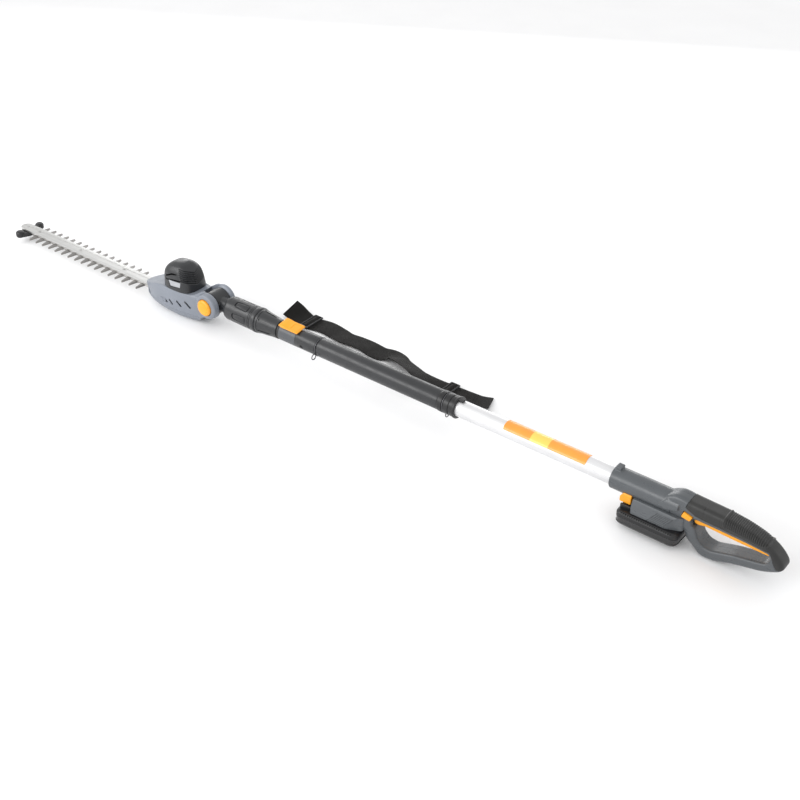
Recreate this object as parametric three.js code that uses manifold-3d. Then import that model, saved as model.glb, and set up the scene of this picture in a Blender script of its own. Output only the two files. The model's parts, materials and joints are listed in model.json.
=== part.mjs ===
// Cordless pole hedge trimmer: toothed cutting head on a tilting joint, telescopic pole with a
// clamp lever, D-shaped rear handle with a slide-on battery, and a loose shoulder strap.
// Millimetres. The tool is drawn along +X (blade tip at -X, handle at +X) with the pole's axis at
// y = 0, z = 0, and x = 0 over the middle of the battery. The finished tool is then tipped until
// the gear housing and the foot of the handle both stand on z = 0, with the foot at the origin.
import * as THREE from 'three';
import { mergeVertices } from 'three/addons/utils/BufferGeometryUtils.js';
import Module from 'manifold-3d';

const wasm = await Module();
wasm.setup();

// ---------- driving dimensions ----------
const GAP = 0.3;                    // clearance between touching pieces
const PITCH = 22.5;                 // spacing of the blade teeth
const STROKE = 10;                  // travel of each blade
const FAR_TEETH = 16;
const NEAR_TEETH = 17;
const NEAR_PHASE = 0.39;            // near teeth lag the far ones, in pitches
const FIRST_TOOTH_X = -1584;
const TIP_X = -1638;                // front end of the guide bar
const PIVOT_X = -1000;              // tilt axis of the head
const POLE_R = 15.85;               // main aluminium tube
const POLE_WALL = 1.25;
const INNER_R = 14;                 // telescoping tube
const SLEEVE_R = 18.8;              // clamp and front grip
const HANDLE_R = 20;                // socket of the rear handle
const FOOT_X = 98;                  // middle of the handle's foot
const FOOT_DEPTH = 69;              // foot below the pole's axis
const HEAD_DEPTH = 57;              // gear housing below the pole's axis
const HEAD_REST_X = PIVOT_X - 90;
const SLOPE = (FOOT_DEPTH - HEAD_DEPTH) / (FOOT_X - HEAD_REST_X);
const ROUND = 20;                   // sides of a large round section

const floorAt = (x) => -FOOT_DEPTH + (FOOT_X - x) * SLOPE;

// ---------- solids ----------
function tidy(geometry) {
  const bare = geometry.clone();
  for (const name of Object.keys(bare.attributes)) {
    if (name !== 'position') bare.deleteAttribute(name);
  }
  const merged = mergeVertices(bare, 1e-4);
  const index = merged.index.array;
  const p = merged.attributes.position.array;
  const faces = [];
  let volume = 0;
  for (let i = 0; i < index.length; i += 3) {
    const [a, b, c] = [index[i], index[i + 1], index[i + 2]];
    if (a === b || b === c || c === a) continue;
    faces.push([a, b, c]);
    const [u, v, w] = [a, b, c].map((k) => new THREE.Vector3(p[3 * k], p[3 * k + 1], p[3 * k + 2]));
    volume += u.dot(v.cross(w));
  }
  if (volume < 0) faces.forEach((face) => face.reverse());
  merged.setIndex(faces.flat());
  return merged;
}

function solid(geometry) {
  const clean = tidy(geometry);
  const mesh = new wasm.Mesh({
    numProp: 3,
    vertProperties: Float32Array.from(clean.attributes.position.array),
    triVerts: Uint32Array.from(clean.index.array),
  });
  return new wasm.Manifold(mesh);
}

function geometryOf(body) {
  const mesh = body.getMesh();
  const geometry = new THREE.BufferGeometry();
  geometry.setAttribute('position', new THREE.BufferAttribute(mesh.vertProperties, 3));
  geometry.setIndex(new THREE.BufferAttribute(mesh.triVerts, 1));
  geometry.computeVertexNormals();
  return geometry;
}

function box(x0, x1, y0, y1, z0, z1) {
  const geometry = new THREE.BoxGeometry(x1 - x0, y1 - y0, z1 - z0);
  return solid(geometry.translate((x0 + x1) / 2, (y0 + y1) / 2, (z0 + z1) / 2));
}

// A turned piece: profile points are [place along the axis, radius].
function turned(axis, profile, sides = ROUND) {
  const points = profile.map(([along, radius]) => new THREE.Vector2(radius, along));
  const geometry = new THREE.LatheGeometry(points, sides);
  if (axis === 'x') geometry.rotateZ(-Math.PI / 2);
  if (axis === 'z') geometry.rotateX(Math.PI / 2);
  return solid(geometry);
}

function rod(axis, radius, from, to, sides = ROUND) {
  return turned(axis, [[from, 0], [from, radius], [to, radius], [to, 0]], sides);
}

function pipe(axis, outer, inner, from, to, sides = ROUND) {
  const profile = [[from, inner], [from, outer], [to, outer], [to, inner], [from, inner]];
  return turned(axis, profile, sides);
}

function shapeOf(outline, holes = []) {
  const shape = new THREE.Shape(outline.map(([u, v]) => new THREE.Vector2(u, v)));
  for (const hole of holes) {
    shape.holes.push(new THREE.Path(hole.map(([u, v]) => new THREE.Vector2(u, v))));
  }
  return shape;
}

// A flat piece cut to an outline in X and Y.
function plate(outline, z0, z1, holes = []) {
  const geometry = new THREE.ExtrudeGeometry(shapeOf(outline, holes), { depth: z1 - z0, bevelEnabled: false });
  return solid(geometry.translate(0, 0, z0));
}

// A piece cut to an outline in X and Z, as wide as 2 * half, with its side edges bevelled.
function slab(outline, half, bevel = 0) {
  const geometry = new THREE.ExtrudeGeometry(shapeOf(outline), {
    depth: 2 * (half - bevel),
    bevelEnabled: bevel > 0,
    bevelSize: bevel,
    bevelThickness: bevel,
    bevelOffset: -bevel,
    bevelSegments: 2,
  });
  return solid(geometry.translate(0, 0, -(half - bevel)).rotateX(Math.PI / 2));
}

// A piece cut to an outline in Y and Z, running along X.
function bar(outline, x0, x1) {
  const geometry = new THREE.ExtrudeGeometry(shapeOf(outline), { depth: x1 - x0, bevelEnabled: false });
  return solid(geometry.rotateZ(Math.PI / 2).rotateY(Math.PI / 2).translate(x0, 0, 0));
}

// A skin through rings of [x, y, z] points, each with the same number of points, capped at both ends.
function loft(rings) {
  const count = rings[0].length;
  const index = [];
  for (let k = 0; k + 1 < rings.length; k += 1) {
    for (let i = 0; i < count; i += 1) {
      const [a, b] = [k * count + i, k * count + ((i + 1) % count)];
      index.push(a, b, b + count, a, b + count, a + count);
    }
  }
  for (const [first, ring] of [[0, rings[0]], [(rings.length - 1) * count, rings.at(-1)]]) {
    const flat = flatten(ring).map(([u, v]) => new THREE.Vector2(u, v));
    const reversed = THREE.ShapeUtils.isClockWise(flat) !== (first === 0);
    for (const [a, b, c] of THREE.ShapeUtils.triangulateShape(flat, [])) {
      index.push(first + a, ...(reversed ? [first + c, first + b] : [first + b, first + c]));
    }
  }
  const geometry = new THREE.BufferGeometry();
  geometry.setAttribute('position', new THREE.Float32BufferAttribute(rings.flat(2), 3));
  geometry.setIndex(index);
  return solid(geometry);
}

// The two coordinates in which a flat ring of points encloses the largest area.
function flatten(ring) {
  const normal = new THREE.Vector3();
  ring.forEach((point, i) => {
    const next = new THREE.Vector3(...ring[(i + 1) % ring.length]);
    normal.add(new THREE.Vector3(...point).cross(next));
  });
  const sizes = normal.toArray().map(Math.abs);
  const dropped = sizes.indexOf(Math.max(...sizes));
  return ring.map(([x, y, z]) => [[y, z], [z, x], [x, y]][dropped]);
}

// The outline moved inwards by a distance (outwards when negative).
function inset(outline, distance) {
  const count = outline.length;
  const turn = Math.sign(THREE.ShapeUtils.area(outline.map(([u, v]) => new THREE.Vector2(u, v))));
  return outline.map((point, i) => {
    const before = outline[(i + count - 1) % count];
    const after = outline[(i + 1) % count];
    const a = new THREE.Vector2(point[0] - before[0], point[1] - before[1]).normalize();
    const b = new THREE.Vector2(after[0] - point[0], after[1] - point[1]).normalize();
    const normal = new THREE.Vector2(-a.y - b.y, a.x + b.x).normalize();
    const reach = distance / Math.max(0.5, normal.dot(new THREE.Vector2(-a.y, a.x)));
    return [point[0] + turn * normal.x * reach, point[1] + turn * normal.y * reach];
  });
}

function arc(cx, cy, radius, from, to, steps) {
  return Array.from({ length: steps + 1 }, (_, i) => {
    const angle = THREE.MathUtils.degToRad(from + ((to - from) * i) / steps);
    return [cx + radius * Math.cos(angle), cy + radius * Math.sin(angle)];
  });
}

function roundedRectangle(u0, u1, v0, v1, radius, steps = 3) {
  return [
    ...arc(u1 - radius, v1 - radius, radius, 0, 90, steps),
    ...arc(u0 + radius, v1 - radius, radius, 90, 180, steps),
    ...arc(u0 + radius, v0 + radius, radius, 180, 270, steps),
    ...arc(u1 - radius, v0 + radius, radius, 270, 360, steps),
  ];
}

// ---------- finishes ----------
const finish = (color, roughness, metalness = 0) => ({ color, roughness, metalness });
const STEEL = finish(0xb9bbbd, 0.35, 1);
const BRIGHT = finish(0xd9dadb, 0.3, 0.9);
const ALUMINIUM = finish(0xe4e5e6, 0.35, 0.6);
const HEAD_GREY = finish(0x868b95, 0.5);
const HANDLE_GREY = finish(0x62666b, 0.45);
const BLACK = finish(0x2b2b2c, 0.5);
const RUBBER = finish(0x2e2e2d, 0.8);
const ORANGE = finish(0xf29a1f, 0.45);
const COPPER = finish(0xb87a4b, 0.4, 0.8);
const CELL = finish(0x2f7f9f, 0.5);
const WEBBING = finish(0x2d2b28, 0.95);

const tool = new THREE.Group();
const head = new THREE.Group();
head.position.x = PIVOT_X;
tool.add(head);

function add(parent, name, body, look) {
  const mesh = new THREE.Mesh(geometryOf(body), new THREE.MeshStandardMaterial(look));
  mesh.name = name;
  parent.add(mesh);
}

// ---------- cutting head: everything here is measured from the tilt axis ----------
const GEAR_X = -119;
const MOTOR_X = -89;
const THROW = STROKE / 2;
const CAM_R = 11;
const BLADE_TOP = -27.9;            // upper face of the upper blade
const BLADE_THICK = 1.9;
const CAM_PLAY = 1.2;               // lets the crank turn at a constant ratio to the blades
const BLADE_BOLTS = [-575, -430, -285];
const SPLIT_Z = -36;                // joint between housing and base cover
const HEAD_HALF = 36;

// The blades rest in the middle of their strokes, where their teeth line up.
function bladeOutline() {
  const root = 12;
  const reach = 32.5;
  const tooth = (x, side) => [[x - 5.5, side * root], [x - 1.3, side * reach],
    [x + 1.3, side * reach], [x + 5.5, side * root]];
  const first = FIRST_TOOTH_X - PIVOT_X;
  const outline = [[first - 9, root - 3], [first - 7, root]];
  for (let i = 0; i < FAR_TEETH; i += 1) outline.push(...tooth(first + i * PITCH, 1));
  const eye = [[-24, root - 1], [-18, 18], [-14, 22], [14, 22], [18, 18], [18, -18], [14, -22], [-14, -22],
    [-18, -18], [-24, 1 - root]];
  outline.push(...eye.map(([x, y]) => [GEAR_X + x, y]));
  for (let i = NEAR_TEETH - 1; i >= 0; i -= 1) {
    outline.push(...tooth(first + (i + NEAR_PHASE) * PITCH, -1).reverse());
  }
  outline.push([first - 7, -root], [first - 9, 3 - root]);
  return outline;
}

// Each blade is a comb with an eye for its cam and a slot at every guide bolt.
function blade(top) {
  const halfX = CAM_R + CAM_PLAY;
  const halfY = CAM_R + THROW + CAM_PLAY;
  const holes = [roundedRectangle(GEAR_X - halfX, GEAR_X + halfX, -halfY, halfY, halfX - 0.5, 4)];
  for (const x of BLADE_BOLTS) holes.push(roundedRectangle(x - THROW - 3, x + THROW + 3, -3, 3, 2.9, 2));
  return plate(bladeOutline(), top - BLADE_THICK, top, holes);
}

function addBlades() {
  const lowerTop = BLADE_TOP - BLADE_THICK - GAP;
  const barBottom = BLADE_TOP + GAP;
  const barTop = barBottom + 5;
  const front = TIP_X - PIVOT_X + 13;
  let guide = plate([...arc(front, 0, 13, 90, 270, 10), [-160, -13], [-160, 13]], barBottom, barTop);
  add(head, 'upper_blade', blade(BLADE_TOP), STEEL);
  add(head, 'lower_blade', blade(lowerTop), STEEL);
  BLADE_BOLTS.forEach((x, i) => {
    const under = lowerTop - BLADE_THICK - GAP;
    const bolt = rod('z', 2.5, under - 1, barTop - 1.4, 12).add(rod('z', 5, under - 3, under, 6));
    guide = guide.subtract(rod('z', 2.8, barBottom - 1, barTop - 1, 12).translate([x, 0, 0]));
    add(head, `guide_bolt_${i + 1}`, bolt.translate([x, 0, 0]), BRIGHT);
  });
  add(head, 'guide_bar', guide, BRIGHT);
}

function addTipGuard() {
  const x = TIP_X - PIVOT_X + 22;
  const lobe = turned('z', [[-38, 0], [-38, 6.5], [-35, 9.5], [-26, 9.5], [-23, 6.5], [-23, 0]], 16);
  const web = plate([[x - 13, -12], [x - 6, -27], [x + 8, -27], [x + 15, -12], [x + 15, 12],
    [x + 8, 27], [x - 6, 27], [x - 13, 12]], -37.5, BLADE_TOP);
  const guard = web.add(lobe.translate([x, -27, 0])).add(lobe.translate([x, 27, 0]));
  add(head, 'tip_guard', guard, BLACK);
}

// Plan of the gear housing: an ellipse at the nose, easing in to the tilt fork.
function headPlan(margin) {
  const wide = -95;
  const noseLength = 112 - margin;
  const half = HEAD_HALF - margin;
  const side = [];
  for (let i = 0; i <= 8; i += 1) {
    const angle = (Math.PI / 2) * (i / 8);
    side.push([wide - noseLength * Math.cos(angle), half * Math.sin(angle)]);
  }
  for (let i = 1; i <= 5; i += 1) {
    const ease = (1 - Math.cos((Math.PI * i) / 5)) / 2;
    side.push([wide + 15 * i, half - 9 * ease]);
  }
  side.push([12, half - 9]);
  return [...side, ...side.slice(1).reverse().map(([x, y]) => [x, -y])];
}

function headBody(margin) {
  const rest = (x) => floorAt(PIVOT_X + x);
  const profile = [[-212, -20], [-190, -11], [-152, 3], [-134, 8], [-46, 8], [-34, 14], [-22, 23], [-13, 26.5], [0, 26], [12, 18],
    [12, -24], [-10, -31], [-22, -33.5], [-27.5, -42], [-38, -50], [-68, rest(-68)], [-112, rest(-112)], [-165, -47], [-212, -36]];
  const flare = [[-90, 20], [-58, 17], [-53, 10], [-46, 4], [-37, 0], [2, 0], [8, 2.5], [60, 2.5]];
  const hull = loft(flare.map(([z, narrower]) => headPlan(margin + narrower).map(([x, y]) => [x, y, z])));
  return hull.intersect(slab(inset(profile, margin), 45));
}

function addHousing() {
  const fork = 27;
  const inner = 17;
  const boss = turned('y', [[-35, 0], [-35, 22], [-33.5, 25], [-31, 27], [-fork + 6, 27], [-fork + 6, 0]], 28);
  const outer = headBody(0).add(rod('y', 27.5, -fork, fork, 28)).add(boss);
  const hollow = headBody(3).subtract(rod('y', 37, -60, 60)).subtract(box(-36, 60, -60, 60, -90, 60));
  const well = rod('y', 34, -inner, inner).add(box(0, 60, -inner, inner, -60, 60));
  const mouth = box(-240, -192, -60, 60, SPLIT_Z - 1, BLADE_TOP + GAP)
    .add(box(-240, -150, -13.4, 13.4, SPLIT_Z - 1, BLADE_TOP + GAP + 5.5));
  const bevels = turned('y', [[inner - 0.5, 22.8], [inner - 0.5, 50], [fork - 6, 50], [fork - 6, 27.7],
    [inner - 0.5, 22.8]], 28).add(turned('y', [[6 - fork, 27.7], [6 - fork, 50], [0.5 - inner, 50],
    [0.5 - inner, 22.8], [6 - fork, 27.7]], 28)).intersect(box(-12, 60, -40, 40, -12, 60));
  const shell = outer.subtract(hollow).subtract(well).subtract(bevels)
    .subtract(box(-40, 60, -inner, inner, -90, -20)).subtract(mouth)
    .subtract(rod('z', 31, 0, 20).translate([MOTOR_X, 0, 0]));
  const bore = rod('y', 8.3, -60, 60).add(rod('y', 15, -22, -10)).add(rod('y', 17.8, -60, -26.4, 28));
  const vents = [[-102, -22.5, 6], [-79, -19.5, 7], [-56.5, -16, 8.5]].flatMap(([x, z, half]) => [
    box(-2, 2, -60, -20, -half, half), box(-2, 2, 20, 60, -half, half),
  ].map((slot) => slot.rotate([0, -46, 0]).translate([x, 0, z])));
  let housing = shell.subtract(bore).subtract(box(-240, 60, -60, 60, -90, SPLIT_Z));
  for (const vent of vents) housing = housing.subtract(vent);
  add(head, 'head_housing', housing, HEAD_GREY);

  const bearingSeat = pipe('z', 11.5, 8 + GAP, -54, -37, 20).translate([GEAR_X, 0, 0]);
  const tray = outer.subtract(hollow).subtract(well).subtract(box(-40, 60, -inner, inner, -90, -20));
  const cover = tray.add(bearingSeat).subtract(box(-240, 60, -60, 60, SPLIT_Z - GAP, 60));
  add(head, 'base_cover', cover, HEAD_GREY);
}

// A hood of rounded-rectangle rings [height, scale, shift], whose top slopes down to the front.
function hood(rings, halfX, halfY) {
  const base = rings[0][0];
  return loft(rings.map(([z, scale, shift]) => Array.from({ length: 20 }, (_, i) => {
    const [c, s] = [Math.cos((Math.PI * i) / 10), Math.sin((Math.PI * i) / 10)];
    const reach = scale / (Math.abs(c) ** 3.2 + Math.abs(s) ** 3.2) ** (1 / 3.2);
    const x = halfX * c * reach + shift;
    return [x, halfY * s * reach, z + (z - base) * 0.0022 * x];
  })));
}

function addMotor() {
  const base = 8 + GAP;
  const outside = hood([[base, 1, 0], [30, 0.95, -1.5], [43, 0.88, -3], [51.5, 0.75, -4], [58, 0.56, -4],
    [61.5, 0.33, -3]], 40, 34);
  const inside = hood([[base - 1, 0.93, 0], [30, 0.88, -1.5], [42, 0.81, -3], [49.5, 0.68, -4],
    [55, 0.48, -4], [58, 0.25, -3]], 40, 34);
  add(head, 'motor_cover', outside.subtract(inside).translate([MOTOR_X - 2, 0, 0]), BLACK);

  const can = turned('z', [[-10.5, 4.5], [-10.5, 21], [46, 21], [46, 4.5], [44, 4.5], [44, 19], [-8.5, 19],
    [-8.5, 4.5], [-10.5, 4.5]]);
  const rotor = turned('z', [[-25.5, 0], [-25.5, 2.5], [-5, 2.5], [-5, 16], [40, 16], [40, 2.5], [50, 2.5],
    [50, 0]], 20);
  add(head, 'motor_can', can.translate([MOTOR_X, 0, 0]), STEEL);
  add(head, 'motor_rotor', rotor.translate([MOTOR_X, 0, 0]), COPPER);
}

// Spur gear of module 1, with a bore; turned by half a tooth so that a pair can mesh.
function spurGear(teeth, bore, z0, z1, phase) {
  const pitchR = teeth / 2;
  const step = (2 * Math.PI) / teeth;
  const outline = [];
  for (let i = 0; i < teeth; i += 1) {
    for (const [offset, radius] of [[-0.3, pitchR - 1.2], [-0.13, pitchR + 0.8], [0.13, pitchR + 0.8],
      [0.3, pitchR - 1.2]]) {
      const angle = (i + phase + offset) * step;
      outline.push([radius * Math.cos(angle), radius * Math.sin(angle)]);
    }
  }
  return plate(outline, z0, z1, [arc(0, 0, bore, 0, 337.5, 15)]);
}

function addGearTrain() {
  const shaftR = 4;
  const camTop = -25.3;
  const upperBottom = BLADE_TOP - BLADE_THICK;
  const lowerBottom = upperBottom - GAP - BLADE_THICK;
  const at = [GEAR_X, 0, 0];
  add(head, 'drive_gear', spurGear(48, shaftR + GAP, -25, -17, 0).translate(at), STEEL);
  add(head, 'pinion', spurGear(12, 2.5 + GAP, -25, -16, 0.5).translate([MOTOR_X, 0, 0]), BRIGHT);
  const cam = (side, z0, z1) => rod('z', CAM_R, z0, z1, 24).translate([0, side * THROW, 0])
    .subtract(rod('z', shaftR + GAP, z0 - 1, z1 + 1, 20)).translate(at);
  add(head, 'upper_cam', cam(-1, upperBottom, camTop), STEEL);
  add(head, 'lower_cam', cam(1, lowerBottom, upperBottom - GAP), STEEL);
  add(head, 'gear_shaft', rod('z', shaftR, -51, -9, 20).translate(at), BRIGHT);
  add(head, 'lower_bearing', pipe('z', 8, shaftR + GAP, -47, -38, 20).translate(at), BRIGHT);
  add(head, 'upper_bearing', pipe('z', 8, shaftR + GAP, -14.5, -10.5, 20).translate(at), BRIGHT);
  const deck = plate(headPlan(4), -14, -11).intersect(box(-180, -42, -60, 60, -20, 0));
  const bored = deck.subtract(rod('z', 8 + GAP, -20, 0, 20).translate(at))
    .subtract(rod('z', 7, -20, 0, 20).translate([MOTOR_X, 0, 0]));
  add(head, 'gear_plate', bored, ALUMINIUM);
}

function addTiltLock() {
  const button = turned('y', [[15, 0], [15, 4.8], [-31, 4.8], [-31, 17.2], [-37.5, 17.2], [-40, 14.5],
    [-41, 8], [-41.3, 0]]);
  const hub = spurGear(24, 5.1, 0, 7.2, 0).rotate([90, 0, 0]).translate([0, -14.2, 0]);
  add(head, 'tilt_button', button, ORANGE);
  add(head, 'tilt_lock_hub', hub, STEEL);
  add(head, 'pivot_sleeve', pipe('y', 8, 5.2, -8, 27, 20), STEEL);
  add(head, 'pivot_cap', turned('y', [[27.3, 0], [27.3, 14], [29, 14], [30.5, 11], [30.5, 0]], 20), BLACK);
}

// ---------- joint between head and pole ----------
function addNeck() {
  const knuckle = rod('y', 24, -16.6, 16.6).add(rod('x', 16, 8, 70))
    .add(rod('x', 19.8, 61, 66)).add(rod('x', 14.7, 69, 113));
  const bore = rod('y', 8.3, -20, 20, 20).add(rod('y', 15, -20, -9.5, 20));
  add(head, 'neck_knuckle', knuckle.subtract(bore), BLACK);

  let nut = turned('x', [[40, 17], [40, 22.5], [46, 24.6], [115, 25], [117, 25.8], [123, 25.8], [125, 24.5],
    [125, 20.4], [60, 20.4], [60, 17], [40, 17]], 24);
  for (let i = 0; i < 6; i += 1) {
    const recess = box(67, 102, -5, 5, 23, 30).rotate([60 * i + 26, 0, 0]);
    nut = nut.subtract(recess);
  }
  add(head, 'union_nut', nut, BLACK);

  const socket = turned('x', [[75, 15.1], [75, 20], [125.4, 20], [125.4, 24.2], [130, 24.2], [136, 23],
    [171, 19.4], [179, 19.4], [179, INNER_R + GAP], [115, INNER_R + GAP], [115, 15.1], [75, 15.1]]);
  add(head, 'pole_socket', socket, BLACK);
}

// ---------- telescopic pole ----------
const LEVER_LEAN = 10;              // the clamp lever sits this many degrees to the near side
const CLAMP_X = -815;
const CLAMP_SPLIT_X = -771;
const CLAMP_END_X = -716;
const FRONT_RING_X = -719;
const FRONT_RING_TURN = -60;         // its eye hangs on the near side
const COLLAR_X = -431;
const COLLAR_END_X = -392;
const REAR_RING_X = -418.5;
const TUBE_FRONT_X = -804.4;
const TUBE_REAR_X = -45;
const SOCKET_BORE = POLE_R + GAP;

function addPole() {
  const inner = pipe('x', INNER_R, INNER_R - 1.4, -880, -250);
  const main = pipe('x', POLE_R, POLE_R - POLE_WALL, TUBE_FRONT_X, TUBE_REAR_X);
  add(tool, 'inner_tube', inner, ALUMINIUM);
  add(tool, 'main_tube', main, ALUMINIUM);
  add(tool, 'seal_ring', pipe('x', 17.6, INNER_R + GAP, -820.7, CLAMP_X - GAP), RUBBER);
  add(tool, 'grip_sleeve', pipe('x', SLEEVE_R, SOCKET_BORE, CLAMP_END_X + GAP, COLLAR_X - GAP), BLACK);
}

function addClamp() {
  const ring = turned('x', [[CLAMP_X, INNER_R + GAP], [CLAMP_X, 18], [CLAMP_X + 1.5, SLEEVE_R],
    [CLAMP_SPLIT_X - GAP, SLEEVE_R], [CLAMP_SPLIT_X - GAP, SOCKET_BORE], [TUBE_FRONT_X - GAP, SOCKET_BORE],
    [TUBE_FRONT_X - GAP, INNER_R + GAP], [CLAMP_X, INNER_R + GAP]]);
  const pinX = -811;
  const pinZ = 21.6;
  const lug = box(pinX - 3.7, pinX + 5.5, -5, 5, 17, 24.4).subtract(rod('y', 1.8, -30, 30, 12)
    .translate([pinX, 0, pinZ]));
  const lean = [LEVER_LEAN, 0, 0];
  add(tool, 'clamp_ring', ring.add(lug.rotate(lean)), BLACK);
  const body = turned('x', [[CLAMP_SPLIT_X, SOCKET_BORE], [CLAMP_SPLIT_X, SLEEVE_R],
    [FRONT_RING_X - 2, SLEEVE_R], [FRONT_RING_X - 2, 17.6], [FRONT_RING_X + 2, 17.6],
    [FRONT_RING_X + 2, SLEEVE_R], [CLAMP_END_X, SLEEVE_R], [CLAMP_END_X, SOCKET_BORE],
    [CLAMP_SPLIT_X, SOCKET_BORE]]);
  const screwTilt = [15, 0, 0];
  const drill = rod('y', 3.3, -30, -10, 12).rotate(screwTilt).translate([-754, 0, 0]);
  const screw = rod('y', 3, -18.2, -16.4, 12).rotate(screwTilt).translate([-754, 0, 0]);
  add(tool, 'clamp_body', body.subtract(drill), BLACK);
  add(tool, 'clamp_screw', screw, STEEL);

  const outline = [[pinX - 2.3, 19.6], [pinX + 42, 19.2], [pinX + 45, 19.6], [pinX + 46, 21.2], [pinX + 42, 23.2],
    [pinX + 20, 23.2], [pinX + 8, 24.6], [pinX - 0.5, 24.7], [pinX - 2.8, 22.8]];
  const lever = slab(outline, 12.5, 0.8).subtract(box(pinX - 9, pinX + 6.4, -5.5, 5.5, 10, 30))
    .subtract(rod('y', 1.8, -30, 30, 12).translate([pinX, 0, pinZ]));
  add(tool, 'clamp_lever', lever.rotate(lean), ORANGE);
  add(tool, 'lever_pin', rod('y', 1.5, -12, 12, 12).translate([pinX, 0, pinZ]).rotate(lean), STEEL);
}

function strapRing(radius) {
  const wire = 1.2;
  const eye = 5.4;
  const ring = solid(new THREE.TorusGeometry(radius, wire, 5, 24).rotateY(Math.PI / 2));
  const loop = solid(new THREE.TorusGeometry(eye, wire, 5, 10).rotateY(Math.PI / 2));
  return ring.add(loop.translate([0, 0, -radius - eye]));
}

function addGripEnd() {
  const groove = (x) => [[x - 1, 19.8], [x - 1, 18.6], [x + 1, 18.6], [x + 1, 19.8]];
  const turnedCollar = turned('x', [[COLLAR_X, SOCKET_BORE], [COLLAR_X, 19.2], [COLLAR_X + 2, 19.8],
    [REAR_RING_X - 2, 19.8], [REAR_RING_X - 2, 17.8], [REAR_RING_X + 2, 17.8], [REAR_RING_X + 2, 19.8],
    ...groove(COLLAR_END_X - 13), [COLLAR_END_X - 5, 19.8], [COLLAR_END_X - 4, 20.8],
    [COLLAR_END_X - 1, 20.8], [COLLAR_END_X, 20], [COLLAR_END_X, SOCKET_BORE], [COLLAR_X, SOCKET_BORE]]);
  const tongue = box(COLLAR_END_X - 3, COLLAR_END_X + 10, -5, 5, 16.6, 20);
  add(tool, 'rear_collar', turnedCollar.add(tongue), BLACK);
  add(tool, 'front_strap_ring', strapRing(19.2).rotate([FRONT_RING_TURN, 0, 0])
    .translate([FRONT_RING_X, 0, 0]), STEEL);
  add(tool, 'rear_strap_ring', strapRing(19.4).translate([REAR_RING_X, 0, 0]), STEEL);
  const labelArc = [...arc(0, 0, SOCKET_BORE + 0.35, 52, 152, 8), ...arc(0, 0, SOCKET_BORE, 152, 52, 8)];
  add(tool, 'tube_label', bar(labelArc, -291, -128), ORANGE);
}

// ---------- rear handle ----------
const SLEEVE_FRONT_X = -80;
const HANDLE_HALF = 17;
const EDGE = 9;                     // rounding of the handle's side edges
const SKIN = 2.6;                   // thickness of the soft grip cover
const foot = (x) => [x, floorAt(x)];
const HANDLE_OUTLINE = [[14, 14], [26, 22], [36, 26.5], [46, 27], [60, 24.5], [118, 22.5], [150, 18.5],
  [178, 11.5], [200, 0], [214, -12], [222, -24], [219, -32], [208, -39], [190, -47], [142, -58], foot(110),
  foot(86), [76, -58], [60, -46], [57.5, -35], [50, -31], [30, -17], [14, -12]];
const HAND_HOLE = [[71, -3], [110, -3.5], [160, -5], [196, -8], [201, -16], [194, -27], [178, -31],
  [142, -38], [106, -49], [92, -47], [82, -38], [77, -25], [74, -19.5], [68, -17.5], [66.5, -9]];
const COVER_ZONE = [[62, 40], [55, 13], [72, 5], [84, 3.5], [150, 1], [197, -3.5], [204, -18], [212, -30],
  [234, -24], [234, 40]];
const PARTING_Y = 2;                // joint between the two handle shells
const TRIGGER_PIVOT = [189, -4];

function addHandle() {
  const ring = (margin, half, bevel, holeMargin) => slab(inset(HANDLE_OUTLINE, margin), half, bevel)
    .subtract(slab(inset(HAND_HOLE, -holeMargin), 40));
  const full = ring(0, HANDLE_HALF, EDGE, 0).add(rod('x', HANDLE_R, SLEEVE_FRONT_X, 30))
    .add(box(-77, -66, -7, 7, 15, 26));
  const core = ring(SKIN, HANDLE_HALF - SKIN, EDGE - 2, 1);
  const coreGrown = ring(SKIN - GAP, HANDLE_HALF - SKIN + GAP, EDGE - 2, 0.7);
  const zone = slab(COVER_ZONE, 40);
  const zoneGrown = slab(inset(COVER_ZONE, -GAP), 40);
  add(tool, 'grip_overmould', full.intersect(zone).subtract(coreGrown), RUBBER);

  const wall = 2.4;
  const lumen = ring(SKIN + wall, HANDLE_HALF - SKIN - wall, EDGE - 4, 1 + wall)
    .add(rod('x', HANDLE_R - 3, -42, 24));
  const triggerSlot = box(66, 200, -9.6, 9.6, -19, 4);
  const lockSlot = slab([[49.5, -6], [66, -9], [70, 1], [53, 6]], 40);
  const socket = rod('x', SOCKET_BORE, SLEEVE_FRONT_X - 5, TUBE_REAR_X + GAP);
  const shell = full.subtract(zoneGrown).add(core).subtract(lumen)
    .subtract(triggerSlot).subtract(lockSlot).subtract(socket)
    .subtract(rod('x', 12, -60, -30))
    .subtract(rod('y', 1.5 + GAP, -11.4, 11.4, 12).translate([TRIGGER_PIVOT[0], 0, TRIGGER_PIVOT[1]]));
  add(tool, 'left_handle_shell', shell.subtract(box(-200, 300, PARTING_Y - GAP / 2, 60, -90, 60)), HANDLE_GREY);
  add(tool, 'right_handle_shell', shell.subtract(box(-200, 300, -60, PARTING_Y + GAP / 2, -90, 60)), HANDLE_GREY);

  const lock = slab([[50.2, -5.4], [65.6, -8.2], [69.2, 0.6], [53.6, 5.2]], 19.5, 1);
  add(tool, 'lock_off_button', lock, ORANGE);
}

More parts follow.
